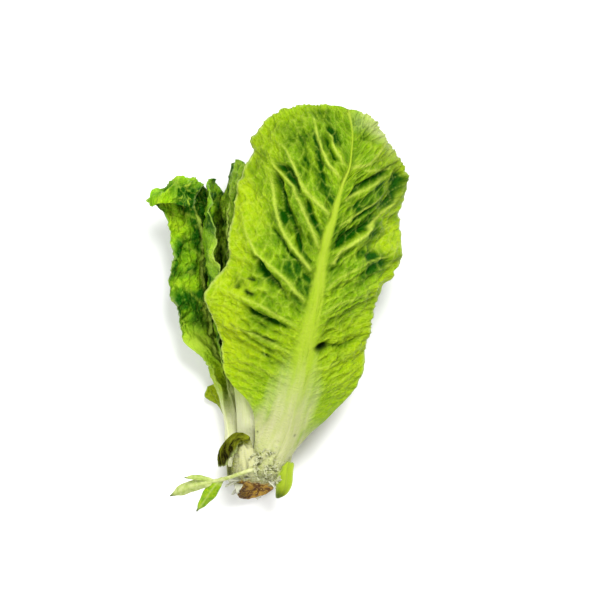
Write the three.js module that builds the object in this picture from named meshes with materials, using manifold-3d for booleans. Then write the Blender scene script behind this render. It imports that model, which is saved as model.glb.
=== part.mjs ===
// A romaine lettuce head, cut from its root and laid on its back on a flat surface.
// Millimetres. X runs across the head, Y from the cut stem to the leaf tips, and Z up.
// The origin is on the surface, under the middle of the head's box.
// Every leaf is one thin closed solid: an outer face, an inner face and the rim between them.

import * as THREE from "three";
import { mergeVertices } from "three/addons/utils/BufferGeometryUtils.js";
import Module from "manifold-3d";

const manifold = await Module();
manifold.setup();

// Driving dimensions
const BLADE = 0.9; // thickness of a leaf blade
const PETIOLE = 1.3; // thickness of a leaf at its base, beside the rib
const STEM_GAP = 0.5; // between the stem and the leaf bases
const CUT_Y = -110; // middle of the cut end of the stem
const CUT_SLANT = 0.55; // how far the cut end leans back for each millimetre of height
const STEM_SIDES = 20;

// The head's body is an oval that changes along the head. Each row is one place on it:
// y, centre x, centre z, half width, half height.
const BODY = [
  [-112, -13.5, 21.0, 15.0, 15.0],
  [-98, -11.0, 21.5, 16.8, 16.5],
  [-80, -8.0, 22.5, 18.6, 18.6],
  [-68, -4.5, 25.0, 22.5, 22.0],
  [-56, -0.5, 27.5, 27.5, 26.0],
  [-40, 4.0, 30.5, 34.0, 30.0],
  [-15, 9.0, 33.5, 41.0, 34.0],
  [10, 12.0, 35.5, 45.0, 36.0],
  [45, 15.0, 36.5, 47.0, 37.0],
  [80, 17.0, 36.0, 44.0, 36.0],
  [110, 18.0, 35.0, 37.0, 32.0],
];

// Stem radius along y, from the cut end to the growing tip
const STEM = [
  [-118, 12.0],
  [-108, 12.6],
  [-100, 11.6],
  [-92, 9.6],
  [-84, 7.2],
  [-76, 4.6],
  [-68, 2.2],
];

// Colours from the outermost leaves to the heart
const COLOURS = {
  front: 0x8fbf14,
  dark: 0x3f7d12,
  outer: 0x6da016,
  middle: 0x9cc62c,
  inner: 0xc3d95c,
  heart: 0xe3e68c,
  pale: 0xd9e39a,
  wilted: 0x4f5a16,
  stem: 0xb8a878,
};

const clamp = (value, low, high) => Math.min(high, Math.max(low, value));
const mix = (a, b, share) => a + (b - a) * share;
const radians = (degrees) => (degrees * Math.PI) / 180;

// 1 where the value is 0, near 0 beyond 2
const hump = (value) => Math.exp(-value * value);

function smoothstep(from, to, value) {
  const share = clamp((value - from) / (to - from), 0, 1);
  return share * share * (3 - 2 * share);
}

// A smooth curve through the rows of a table, read at t. Each row starts with its own t.
function along(rows, t) {
  let i = 0;
  while (i < rows.length - 2 && t > rows[i + 1][0]) i += 1;
  const [a, b] = [rows[i], rows[i + 1]];
  const before = rows[Math.max(i - 1, 0)];
  const after = rows[Math.min(i + 2, rows.length - 1)];
  const span = b[0] - a[0];
  const s = clamp((t - a[0]) / span, 0, 1);
  const [s2, s3] = [s * s, s * s * s];
  return a.slice(1).map((start, n) => {
    const end = b[n + 1];
    const slopeIn = ((end - before[n + 1]) / (b[0] - before[0])) * span;
    const slopeOut = ((after[n + 1] - start) / (after[0] - a[0])) * span;
    return (
      start * (2 * s3 - 3 * s2 + 1) +
      slopeIn * (s3 - 2 * s2 + s) +
      end * (3 * s2 - 2 * s3) +
      slopeOut * (s3 - s2)
    );
  });
}

// A list of points with t running evenly from 0 to 1
const evenly = (points) =>
  points.map((point, i) => [i / (points.length - 1), ...point]);

// The leaf solid. base(u, v) is a smooth surface, u from base to tip and v from -1 to 1 across.
// relief(u, v, place) lifts both faces alike, rib(u, v) thickens the outer face, thickness(u, v) is the blade's.
// Both faces are offset along the smooth surface's own normal and split alike, so they never cross.
function leafGeometry({ base, relief, rib, thickness, rows, columns, outward = 1, low = 0 }) {
  const smooth = [];
  for (let i = 0; i <= rows; i += 1)
    for (let j = 0; j <= columns; j += 1)
      smooth.push(base(i / rows, (2 * j) / columns - 1));
  const at = (i, j) =>
    smooth[clamp(i, 0, rows) * (columns + 1) + clamp(j, 0, columns)];
  const faces = [[], []];
  for (let i = 0; i <= rows; i += 1)
    for (let j = 0; j <= columns; j += 1) {
      const [u, v] = [i / rows, (2 * j) / columns - 1];
      const across = at(i, j + 1).clone().sub(at(i, j - 1));
      const upward = at(i + 1, j).clone().sub(at(i - 1, j));
      const normal = across.cross(upward).normalize().multiplyScalar(outward);
      const depth = thickness(u, v);
      const lift = relief(u, v, at(i, j));
      const outer = at(i, j).clone().addScaledVector(normal, lift + rib(u, v));
      const inner = at(i, j).clone().addScaledVector(normal, lift - depth);
      const lowest = outer.z < inner.z ? outer : inner;
      const highest = lowest === outer ? inner : outer;
      lowest.z = Math.max(lowest.z, low);
      highest.z = Math.max(highest.z, low + depth);
      faces[0].push(outer);
      faces[1].push(inner);
    }
  return closedSheet(faces, rows, columns);
}

// Joins two grids of points, one for each face, into one closed surface that faces out.
function closedSheet(faces, rows, columns) {
  const count = (rows + 1) * (columns + 1);
  const point = (face, i, j) => face * count + i * (columns + 1) + j;
  const index = [];
  const quad = (a, b, c, d) => index.push(a, b, c, a, c, d);
  for (let i = 0; i < rows; i += 1)
    for (let j = 0; j < columns; j += 1) {
      const corners = [[i, j], [i, j + 1], [i + 1, j + 1], [i + 1, j]];
      // The diagonals run outwards and towards the tip on both halves of the leaf, as side veins do.
      if (j < columns / 2) corners.push(corners.shift());
      const [a, b, c, d] = corners.map(([m, n]) => point(0, m, n));
      quad(a, b, c, d);
      const [e, f, g, h] = corners.map(([m, n]) => point(1, m, n));
      index.push(e, g, f, e, h, g);
    }
  for (let i = 0; i < rows; i += 1) {
    quad(point(0, i, 0), point(0, i + 1, 0), point(1, i + 1, 0), point(1, i, 0));
    quad(point(1, i, columns), point(1, i + 1, columns), point(0, i + 1, columns), point(0, i, columns));
  }
  for (let j = 0; j < columns; j += 1) {
    quad(point(1, 0, j), point(1, 0, j + 1), point(0, 0, j + 1), point(0, 0, j));
    quad(point(0, rows, j), point(0, rows, j + 1), point(1, rows, j + 1), point(1, rows, j));
  }
  const geometry = new THREE.BufferGeometry().setFromPoints(faces.flat());
  geometry.setIndex(signedVolume(faces.flat(), index) < 0 ? index.reverse() : index);
  geometry.computeVertexNormals();
  return geometry;
}

function signedVolume(points, index) {
  let total = 0;
  for (let k = 0; k < index.length; k += 3) {
    const [a, b, c] = [points[index[k]], points[index[k + 1]], points[index[k + 2]]];
    total += a.dot(b.clone().cross(c)) / 6;
  }
  return total;
}

// A surface through three curves along the leaf: its middle, its left edge and its right edge.
// crown bends each half outward, and chevron bends its rows towards the tip.
function railSurface({ middle, left, right, crown = () => 0, chevron = () => 0 }) {
  const [m, l, r] = [middle, left, right].map(evenly);
  return (u, v) => {
    const centre = new THREE.Vector3(...along(m, u));
    const side = new THREE.Vector3(...along(v < 0 ? l : r, u));
    const across = new THREE.Vector3(...along(r, u)).sub(new THREE.Vector3(...along(l, u)));
    const ahead = new THREE.Vector3(...along(m, Math.min(u + 0.02, 1)));
    const upward = ahead.sub(new THREE.Vector3(...along(m, Math.max(u - 0.02, 0))));
    const normal = across.cross(upward).normalize();
    const w = Math.abs(v);
    const bow = 4 * w * (1 - w);
    return centre
      .lerp(side, w)
      .addScaledVector(normal, bow * crown(u, v))
      .addScaledVector(upward.normalize(), bow * chevron(u));
  };
}

// A surface that wraps round the head's body as one of its layers.
// layer is its share of the body's size, turn and tipTurn its place round it in degrees at base and tip.
// width is the widest half width of the blade, and limit the most that it reaches round to each side.
// lean moves the tip sideways and up, and drop lowers its corners.
function layerSurface({ layer, turn, tipTurn, width, limit, from, to, petiole = 0.8, lean = [0, 0], drop = 9 }) {
  return (u, v) => {
    const y = mix(from, to, u) - drop * v * v * u * u;
    const [x, z, halfWide, halfHigh] = along(BODY, y);
    const round = (halfWide + halfHigh) / 2;
    const [stem] = y < STEM.at(-1)[0] ? along(STEM, y) : [0];
    const share = Math.max(layer, (stem + STEM_GAP + PETIOLE) / round);
    const opening = mix(petiole, 1, smoothstep(0.12, 0.62, u));
    const closing = Math.sqrt(1 - clamp((u - 0.7) / 0.38, 0, 1) ** 2);
    const halfAngle = Math.min(width / (share * round), radians(limit)) * opening * closing;
    const angle = radians(mix(turn, tipTurn, smoothstep(0.1, 0.7, u))) + v * halfAngle;
    const away = smoothstep(0.25, 1, u);
    return new THREE.Vector3(
      x + share * halfWide * Math.sin(angle) + lean[0] * away,
      y,
      z + share * halfHigh * Math.cos(angle) + lean[1] * away,
    );
  };
}

// Relief of a leaf: folds that follow the side veins, and waves that grow towards the edge.
function leafRelief({ folds, depth, waves, ruffle, phase = 0, rise = 0.16 }) {
  return (u, v) => {
    const w = Math.abs(v);
    const blade = smoothstep(0.16, 0.42, u);
    const fold = Math.cos(2 * Math.PI * folds * (u - rise * w) + phase) * Math.sin(Math.PI * Math.min(w / 0.95, 1));
    const wave = Math.sin(2 * Math.PI * waves * u + phase + (v < 0 ? 2.1 : 0)) * w ** 3;
    return blade * (depth * fold + ruffle * wave);
  };
}

// Rib along the middle of a leaf: high and broad at the base, fine at the tip.
const leafRib = (height, share) => (u, v) => {
  const breadth = mix(share, share * 0.28, smoothstep(0, 0.6, u));
  return mix(height, 0.3, smoothstep(0, 0.75, u)) * Math.exp(-((v / breadth) ** 2));
};

const leafThickness = (u) => mix(PETIOLE, BLADE, smoothstep(0.1, 0.45, u));

// Side veins of the top leaf that stand out as ridges, seen from above: height in millimetres, points of x and y
const FRONT_VEINS = [
  [2.2, [[45, 84], [40, 88], [35, 97], [34, 103], [29, 110]]],
  [2.2, [[38, 79], [32, 86], [27, 96], [24, 105], [23, 112], [20, 121]]],
  [2.6, [[32, 57], [24, 64], [18, 71], [14, 77], [11, 84], [8, 92], [6, 96], [-1, 104]]],
  [2.2, [[26, 37], [20, 51], [15, 61], [10, 74], [-1, 86], [-5, 94], [-12, 97]]],
  [2.6, [[20, 24], [11, 36], [5, 44], [1, 53], [-1, 64], [-3, 76], [-4, 84], [-10, 90]]],
  [2.0, [[17, 5], [10, 12], [3, 20], [-12, 33], [-19, 48], [-22, 62]]],
  [1.5, [[14, -12], [4, -6], [-10, 2], [-24, 8], [-36, 12]]],
  [1.3, [[10, -28], [0, -23], [-14, -16], [-28, -10], [-36, -6]]],
  [2.0, [[46, 85], [55, 88], [61, 94], [65, 101], [66, 104]]],
  [1.8, [[42, 66], [49, 70], [56, 73], [63, 78], [70, 84]]],
  [1.5, [[38, 51], [47, 56], [57, 62], [66, 70]]],
  [2.4, [[34, 28], [38, 35], [46, 40], [53, 45], [59, 51], [63, 57], [71, 64], [77, 74]]],
  [1.3, [[30, 12], [40, 20], [54, 27], [68, 32], [76, 40]]],
  [1.1, [[27, -4], [38, 3], [52, 8], [62, 12]]],
  [1.1, [[21, -37], [30, -36], [42, -30], [51, -24]]],
];
const VEIN_BREADTH = 5;
const SAG = 2.6; // how far the blade sinks between its side veins
const SAG_REACH = 7;

// Its folds, seen from above: depth in millimetres, points of x and y
const FRONT_FOLDS = [
  [2.6, [[24, 101], [27, 89], [30, 75]]],
  [2.8, [[19, 65], [22, 57], [26, 51]]],
  [3.8, [[-2, 84], [3, 74], [7, 64], [11, 53], [13, 42]]],
  [3.4, [[-13, 32], [-8, 25], [-4, 20], [5, 10]]],
  [2.4, [[-18, 1], [-11, -3], [-3, -7], [5, -10]]],
  [3.8, [[41, 65], [49, 74], [63, 82], [74, 90]]],
  [2.8, [[75, 85], [74, 75], [69, 65], [61, 57]]],
  [3.8, [[35, 35], [46, 43], [57, 49], [64, 54]]],
  [2.2, [[54, 33], [66, 28]]],
  [3.2, [[23, -26], [31, -24], [39, -24], [52, -16]]],
];
const FOLD_BREADTH = 5.2;

// Distance from a place to a line through points, seen from above
function lineDistance({ x, y }, points) {
  const distances = points.slice(1).map(([bx, by], i) => {
    const [ax, ay] = points[i];
    const [dx, dy] = [bx - ax, by - ay];
    const s = clamp(((x - ax) * dx + (y - ay) * dy) / (dx * dx + dy * dy), 0, 1);
    return Math.hypot(x - ax - s * dx, y - ay - s * dy);
  });
  return Math.min(...distances);
}

// Ridges, the sag between them and the deep folds of the top leaf
function frontRelief(place) {
  const veins = FRONT_VEINS.map(([height, points]) => [height, lineDistance(place, points)]);
  const ridge = Math.max(...veins.map(([height, distance]) => height * hump(distance / VEIN_BREADTH)));
  const nearest = Math.min(...veins.map(([, distance]) => distance));
  const folds = FRONT_FOLDS.map(([depth, points]) => depth * hump(lineDistance(place, points) / FOLD_BREADTH));
  return ridge - SAG * (1 - hump(nearest / SAG_REACH)) - Math.max(...folds);
}

// The large leaf that lies on top with its outer side up
function frontLeaf() {
  const middle = [
    [-4.5, -97.5, 36.8], [5, -76, 45], [10.4, -57.6, 55], [15.3, -41.2, 62],
    [18.3, -25.3, 67], [21.4, -10.1, 71], [23.8, 2.1, 73], [26.2, 17.4, 75],
    [28.1, 32.6, 77], [31.1, 44.2, 78], [34.2, 54.6, 78], [37.2, 65.6, 78],
    [40.3, 75.9, 77], [44, 84.5, 76], [45.4, 94.9, 74], [46, 107, 70],
    [43.5, 121, 64],
  ];
  const left = [
    [-15.5, -99, 37.5], [-13.6, -75, 45.5], [-16.5, -58.9, 52.5], [-31.1, -40.6, 54],
    [-35.4, -19.2, 57], [-42.7, 5.2, 59.5], [-41.5, 14.3, 61.5], [-29.5, 30.8, 65],
    [-28.1, 47.9, 65], [-26.8, 66.2, 64.5], [-22, 83.3, 63.5], [-16.5, 93.6, 62],
    [-16.5, 102.2, 60], [-9.2, 114.4, 60], [5, 122.5, 61.5], [22, 124.3, 63],
    [37, 123.5, 63.5],
  ];
  const right = [
    [3.6, -96.5, 31.5], [18, -79, 36], [32, -66.2, 42], [47, -48.5, 46],
    [52, -31.4, 49], [55, -14.9, 51], [58.8, 3.4, 52], [67, 14.3, 50],
    [74, 30.8, 47], [76.5, 49.1, 45], [76, 63.1, 45], [78, 78.4, 45],
    [72, 91.8, 48], [66.5, 102, 53], [60, 111, 57.5], [54, 117, 60.5],
    [48.5, 120.5, 62.5],
  ];
  return leafGeometry({
    base: railSurface({
      middle,
      left,
      right,
      crown: (u) => mix(1.5, 8, smoothstep(0, 0.5, u)) * mix(1, 0.12, smoothstep(0.78, 1, u)),
      chevron: (u) => mix(-6, 5, smoothstep(0.35, 0.85, u)) * smoothstep(0, 0.15, u) * (1 - smoothstep(0.85, 1, u)),
    }),
    relief: (u, v, place) => {
      const w = Math.abs(v);
      const blade = smoothstep(0.1, 0.3, u) * (1 - smoothstep(0.93, 1, u));
      const besideRib = 1 - hump(w / mix(0.3, 0.1, smoothstep(0, 0.7, u)));
      const beforeEdge = 1 - smoothstep(0.82, 1, w);
      const wave = Math.sin(2 * Math.PI * 6.5 * u + (v < 0 ? 1 : 0)) * w ** 4 * mix(1, 0.2, smoothstep(0.68, 0.8, u));
      return blade * (frontRelief(place) * besideRib * beforeEdge + 2.2 * wave);
    },
    rib: leafRib(3.6, 0.42),
    thickness: leafThickness,
    rows: 58,
    columns: 18,
  });
}

// The dark leaf that is opened away from the head at the left, its tip turned over
function leftLeaf() {
  const middle = [
    [-27.5, -97, 22.5], [-31, -80, 20.5], [-34, -62, 19], [-36.5, -46, 18.5],
    [-40.5, -26, 19.5], [-43.5, -4, 21.5], [-45.5, 18, 23.5], [-46, 41, 25.5],
    [-49, 57, 29], [-53, 70, 35], [-57.5, 77, 43.5], [-61, 71, 50], [-62, 63.5, 51.5],
  ];
  const left = [
    [-27, -97, 28.5], [-31.5, -80, 28], [-35.5, -62, 27.5], [-35.5, -46, 27],
    [-44.5, -33, 28], [-57.5, -18, 31], [-63, 0, 33.5], [-65, 20, 35],
    [-63.5, 38, 36.5], [-66, 53, 38.5], [-73.5, 62, 42], [-78, 63.5, 46.5], [-74, 60.5, 49],
  ];
  const right = [
    [-27, -97, 16.5], [-30, -80, 14], [-31.5, -62, 12], [-31.5, -46, 11],
    [-32.5, -26, 10.5], [-34, -4, 11.5], [-35, 18, 12.5], [-36, 42, 14],
    [-39, 58, 19], [-42, 70, 28], [-44.5, 75.5, 38], [-48, 70, 46.5], [-51.5, 61, 49.5],
  ];
  const relief = leafRelief({ folds: 9, depth: 1.5, waves: 7, ruffle: 1.6, phase: 0.7 });
  return leafGeometry({
    base: railSurface({ middle, left, right, crown: (u, v) => (v < 0 ? -2 : -1) * smoothstep(0, 0.25, u) }),
    relief: (u, v) => relief(u, v) * mix(1, 0.3, smoothstep(0.68, 0.8, u)),
    rib: leafRib(2.6, 0.5),
    thickness: leafThickness,
    rows: 36,
    columns: 10,
    outward: -1,
  });
}

// Leaves in layers round the stem, from the outside in
const LAYERED = [
  { name: "edge_leaf", colour: "middle", layer: 0.98, turn: -42, tipTurn: -63, width: 34, limit: 38,
    from: -100, to: 91, petiole: 0.5, lean: [-5, 0],
    rows: 24, columns: 8, folds: 8, depth: 0.8, waves: 6, ruffle: 1.2, rib: 1.8 },
  { name: "left_back_leaf", colour: "dark", layer: 1.06, turn: -131, tipTurn: -100, width: 36, limit: 42,
    from: -103, to: 80, petiole: 0.48, lean: [-11, 6],
    rows: 20, columns: 8, folds: 7, depth: 0.8, waves: 6, ruffle: 0.9, rib: 1.4 },
  { name: "right_leaf", colour: "outer", layer: 1.0, turn: 78, tipTurn: 80, width: 30, limit: 38,
    from: -101, to: 92, petiole: 0.52,
    rows: 22, columns: 8, folds: 8, depth: 1.2, waves: 6, ruffle: 1.8, rib: 2.0 },
  { name: "under_leaf", colour: "outer", layer: 1.07, turn: 145, tipTurn: 168, width: 42, limit: 48,
    from: -102, to: 86, petiole: 0.76,
    rows: 24, columns: 10, folds: 8, depth: 0.9, waves: 6, ruffle: 1.4, rib: 2.0 },
];

// Layers of like leaves inside the outer ones: how many, how they turn, and how large they are
const LAYERS = [
  { name: "middle_leaf", colour: "middle", count: 3, first: -8, layer: 0.86, width: 38, from: -98, to: 94,
    rows: 16, columns: 6, folds: 5, depth: 0.8, waves: 4, ruffle: 1.1, rib: 1.1 },
  { name: "second_middle_leaf", colour: "middle", count: 3, first: 52, layer: 0.7, width: 31, from: -91, to: 86,
    rows: 14, columns: 6, folds: 4.5, depth: 0.8, waves: 4, ruffle: 1.0, rib: 1.0 },
  { name: "inner_leaf", colour: "inner", count: 3, first: -8, layer: 0.54, width: 24, from: -84, to: 74,
    rows: 12, columns: 6, folds: 4, depth: 0.7, waves: 3, ruffle: 0.9, rib: 0.9 },
  { name: "heart_leaf", colour: "inner", count: 2, first: 60, layer: 0.38, width: 24, from: -77, to: 58,
    rows: 12, columns: 6, folds: 3.5, depth: 0.5, waves: 3, ruffle: 0.7, rib: 0.7 },
  { name: "centre_leaf", colour: "heart", count: 2, first: 150, layer: 0.22, width: 13, from: -70, to: 38,
    rows: 10, columns: 4, folds: 3, depth: 0.4, waves: 2, ruffle: 0.5, rib: 0.5 },
];

function layeredLeaf(spec) {
  return leafGeometry({
    base: layerSurface(spec),
    relief: leafRelief({ ...spec, phase: radians(spec.turn) }),
    rib: leafRib(spec.rib, 0.5),
    thickness: leafThickness,
    rows: spec.rows,
    columns: spec.columns,
  });
}

// Degrees that leaves of one layer keep clear of each other's edges, on each side
const BETWEEN = 4;

// The leaves of one layer, spaced evenly round the head
function layerLeaves(spec) {
  return Array.from({ length: spec.count }, (_, k) => {
    const turn = spec.first + (360 * k) / spec.count;
    const limit = 180 / spec.count - BETWEEN;
    return { ...spec, name: `${spec.name}_${k + 1}`, turn, tipTurn: turn, limit };
  });
}

// Small leaves at the base, each given by its middle and its two edges
const SMALL_LEAVES = [
  {
    name: "small_left_leaf", colour: "outer", rows: 14, columns: 4, waves: 2.5, ruffle: 0.7, rib: 0.8,
    middle: [[-24.2, -108.5, 12.8], [-28.4, -103.8, 9.2], [-32, -86, 7.5], [-35, -69, 7.5], [-38.5, -57, 8.5],
      [-42, -49.5, 9.8], [-43, -44.5, 10.8]],
    left: [[-22, -108.5, 10.2], [-25.8, -104, 6.2], [-30.5, -88, 5], [-33.5, -72, 4.5], [-37.5, -62, 5],
      [-45.3, -54, 6.8], [-44.8, -45.5, 10]],
    right: [[-26.2, -108.5, 16], [-30.4, -103.8, 13.2], [-32.5, -84, 10], [-34, -66, 10], [-35.5, -54, 11],
      [-37.5, -47, 12], [-41, -44, 11.8]],
  },
  {
    name: "wilted_leaf", colour: "wilted", rows: 20, columns: 6, waves: 3, ruffle: 1.0, rib: 0.9,
    middle: [[-18, -102.1, 35], [-18.8, -100.4, 41], [-19.8, -91, 44], [-20.3, -83.5, 46.5], [-21.5, -79, 49.5],
      [-26, -79.5, 51.3], [-31, -85, 49.3], [-33.5, -91, 45.8], [-34.5, -96.5, 41.3]],
    left: [[-25.5, -102, 30.5], [-27.8, -100.4, 36], [-27.2, -91, 39.5], [-25.3, -85, 43], [-23.4, -81.2, 47],
      [-24.8, -82.8, 48.5], [-27.5, -86.5, 47], [-30, -91, 44.5], [-32.5, -95.5, 41.5]],
    right: [[-10.5, -102.1, 36.3], [-11.6, -100.4, 43], [-13.2, -90.5, 45.5], [-15.5, -83, 47], [-18.5, -77, 50],
      [-26, -76, 52.5], [-33.5, -83.5, 50], [-36.5, -90.5, 46], [-36, -96.5, 41.5]],
  },
  {
    name: "low_right_leaf", colour: "front", rows: 20, columns: 4, waves: 2, ruffle: 0.5, rib: 0.8,
    middle: [[1, -103.9, 28.8], [3, -102, 30.6], [5.6, -98.9, 32.2], [6.6, -99.6, 34.6], [5.4, -103, 35.8],
      [4.2, -108.5, 34.4], [2.4, -113.2, 31.4], [0, -116.3, 28.4]],
    left: [[-2.8, -103.9, 32.2], [-0.6, -101.2, 33.6], [2.6, -99.6, 35.9], [2.7, -100.4, 37.8], [0.6, -103.2, 38],
      [-0.7, -108.5, 36.5], [-1.2, -113.2, 32.5], [-0.9, -116.1, 28.9]],
    right: [[2.4, -103.9, 24], [6, -102.3, 27], [9.1, -98.6, 28.6], [10.3, -99.2, 31.2], [10, -103, 33.2],
      [9.1, -108.5, 32.3], [6, -113.2, 30.3], [0.9, -116.3, 27.9]],
  },
];

function smallLeaf(spec) {
  return leafGeometry({
    base: railSurface({ ...spec, crown: (u) => 0.8 * (1 - smoothstep(0.6, 1, u)) }),
    relief: (u, v) => spec.ruffle * Math.sin(2 * Math.PI * spec.waves * u) * v ** 4,
    rib: leafRib(spec.rib, 0.5),
    thickness: () => BLADE,
    rows: spec.rows,
    columns: spec.columns,
  });
}

// The side shoot: a thin stalk that carries two small leaves and a bract, grown together as one piece
const SHOOT = {
  stalk: [[-8.5, -104.8, 35.2], [-17, -104.9, 36.6], [-27.5, -104.9, 37], [-34, -105.2, 36], [-39.6, -106.2, 34.7]],
  stalkRadius: 1.5,
  leaves: [
    {
      middle: [[-33, -103.6, 36.2], [-38, -108.5, 35.5], [-42, -114, 32.5], [-46, -120, 28.5], [-49.5, -124.6, 25]],
      left: [[-34, -103.2, 36.2], [-41, -106.8, 34.5], [-45.5, -112, 31], [-48.5, -119, 27.5], [-49.9, -124.4, 25]],
      right: [[-32, -104, 36.2], [-35, -110.5, 34.5], [-38, -116, 31.5], [-43.5, -121, 28], [-49, -124.8, 25]],
    },
    {
      middle: [[-37.5, -105.7, 35.2], [-45, -107.5, 34], [-52, -109.2, 31], [-59, -112, 26.5], [-66, -115.4, 21]],
      left: [[-37.5, -104.9, 35.2], [-45.5, -104.5, 33.5], [-53, -105.5, 30.5], [-61, -109, 25.5], [-66.2, -115, 21]],
      right: [[-37.5, -106.5, 35.2], [-44.5, -110.3, 33], [-51.5, -112.7, 29.5], [-58, -115, 25.5], [-65.8, -115.8, 21]],
    },
    {
      middle: [[-38.2, -105.6, 34.4], [-46, -103.8, 35.5], [-52, -103.4, 35.5], [-57, -103.8, 34]],
      left: [[-38.2, -105, 34.4], [-46, -102.2, 35.2], [-52.2, -102, 35.2], [-57, -103.5, 34]],
      right: [[-38.2, -106.2, 34.4], [-46, -105.4, 35.8], [-52, -104.8, 35.8], [-57, -104.1, 34]],
    },
  ],
};

function sideShoot() {
  const curve = new THREE.CatmullRomCurve3(SHOOT.stalk.map((p) => new THREE.Vector3(...p)));
  const section = new THREE.Shape().absarc(0, 0, SHOOT.stalkRadius, 0, 2 * Math.PI);
  const tube = { extrudePath: curve, steps: 12, curveSegments: 4, bevelEnabled: false };
  const stalk = new THREE.ExtrudeGeometry(section, tube);
  const leaves = SHOOT.leaves.map((rails) =>
    leafGeometry({
      base: railSurface(rails),
      relief: () => 0,
      rib: leafRib(0.6, 0.5),
      thickness: () => BLADE,
      rows: 8,
      columns: 4,
    }),
  );
  return joined([stalk, ...leaves]);
}

// One solid from closed geometries that cross each other. Small hollows sealed between them are filled.
function joined(geometries) {
  const shells = geometries.map(solidOf).reduce((a, b) => a.add(b)).decompose();
  const whole = shells.reduce((a, b) => (a.volume() > b.volume() ? a : b));
  const { vertProperties, triVerts, numProp } = whole.getMesh();
  const points = [];
  for (let k = 0; k < vertProperties.length; k += numProp)
    points.push(new THREE.Vector3(vertProperties[k], vertProperties[k + 1], vertProperties[k + 2]));
  const geometry = new THREE.BufferGeometry().setFromPoints(points);
  geometry.setIndex(Array.from(triVerts));
  geometry.computeVertexNormals();
  return geometry;
}

function solidOf(geometry) {
  const bare = new THREE.BufferGeometry().setAttribute("position", geometry.getAttribute("position"));
  if (geometry.index) bare.setIndex(geometry.index);
  const merged = mergeVertices(bare, 1e-3);
  return new manifold.Manifold(
    new manifold.Mesh({
      numProp: 3,
      vertProperties: merged.attributes.position.array,
      triVerts: new Uint32Array(merged.index.array),
    }),
  );
}

// The stem: a short core that narrows to its growing tip, its cut end slanting back
function stemGeometry() {
  const rings = 12;
  const points = [];
  const rim = (y, k) => {
    const [x, z] = along(BODY, y);
    const [radius] = along(STEM, y);
    const angle = (2 * Math.PI * k) / STEM_SIDES;
    const lumps = 1 + 0.03 * Math.cos(5 * angle) + 0.02 * Math.cos(3 * angle + 1);
    return new THREE.Vector3(x + radius * lumps * Math.sin(angle), y, z + radius * lumps * Math.cos(angle));
  };
  const tipY = STEM.at(-1)[0];
  for (let i = 0; i <= rings; i += 1)
    for (let k = 0; k < STEM_SIDES; k += 1) {
      const start = rim(CUT_Y, k);
      const slanted = CUT_Y + CUT_SLANT * (start.z - along(BODY, CUT_Y)[1]);
      const y = mix(slanted, tipY, i / rings);
      const place = rim(y, k);
      place.y = y;
      points.push(place);
    }
  const cutCentre = points.length;
  const [cutX, cutZ] = along(BODY, CUT_Y);
  points.push(new THREE.Vector3(cutX, CUT_Y + 0.8, cutZ));
  const [tipX, tipZ] = along(BODY, tipY);
  points.push(new THREE.Vector3(tipX, tipY + 1.5, tipZ));
  const index = [];
  for (let k = 0; k < STEM_SIDES; k += 1) {
    const next = (k + 1) % STEM_SIDES;
    for (let i = 0; i < rings; i += 1) {
      const [a, b] = [i * STEM_SIDES + k, i * STEM_SIDES + next];
      index.push(a, b, b + STEM_SIDES, a, b + STEM_SIDES, a + STEM_SIDES);
    }
    index.push(cutCentre, next, k);
    index.push(cutCentre + 1, rings * STEM_SIDES + k, rings * STEM_SIDES + next);
  }
  const geometry = new THREE.BufferGeometry().setFromPoints(points);
  geometry.setIndex(signedVolume(points, index) < 0 ? index.reverse() : index);
  geometry.computeVertexNormals();
  return geometry;
}

const head = new THREE.Group();

function add(name, colour, geometry) {
  const material = new THREE.MeshStandardMaterial({ color: COLOURS[colour], roughness: 0.5, metalness: 0 });
  const mesh = new THREE.Mesh(geometry, material);
  mesh.name = name;
  head.add(mesh);
}

add("stem", "stem", stemGeometry());
add("front_leaf", "front", frontLeaf());
add("left_leaf", "dark", leftLeaf());
for (const spec of [...LAYERED, ...LAYERS.flatMap(layerLeaves)]) add(spec.name, spec.colour, layeredLeaf(spec));
for (const spec of SMALL_LEAVES) add(spec.name, spec.colour, smallLeaf(spec));
add("side_shoot", "pale", sideShoot());

export default head;
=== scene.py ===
"""Looks of the romaine lettuce head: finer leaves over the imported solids, their veins, folds and colours."""

import math
from types import SimpleNamespace

import bpy
import numpy as np
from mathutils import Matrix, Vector


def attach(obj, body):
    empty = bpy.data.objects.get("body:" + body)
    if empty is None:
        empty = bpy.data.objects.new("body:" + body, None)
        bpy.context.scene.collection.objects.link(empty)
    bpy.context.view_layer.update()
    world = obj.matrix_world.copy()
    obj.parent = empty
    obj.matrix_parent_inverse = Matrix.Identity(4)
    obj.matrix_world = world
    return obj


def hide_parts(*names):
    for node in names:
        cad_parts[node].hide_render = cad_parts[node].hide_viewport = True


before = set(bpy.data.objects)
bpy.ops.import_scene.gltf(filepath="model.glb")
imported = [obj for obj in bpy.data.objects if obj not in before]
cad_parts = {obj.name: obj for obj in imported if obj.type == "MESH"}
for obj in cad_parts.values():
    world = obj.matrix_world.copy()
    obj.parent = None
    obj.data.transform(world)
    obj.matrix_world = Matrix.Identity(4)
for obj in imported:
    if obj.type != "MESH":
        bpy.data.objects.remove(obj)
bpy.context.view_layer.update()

# Shapes are worked out in millimetres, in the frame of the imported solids, and turned into metres at the end.
MM = 0.001
TURN = 2 * math.pi

# Driving dimensions, the same as those of the solids
BLADE = 0.9
PETIOLE = 1.3
STEM_GAP = 0.5
CUT_Y = -110.0
CUT_SLANT = 0.55
EDGE_THICKNESS = 0.4

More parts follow.
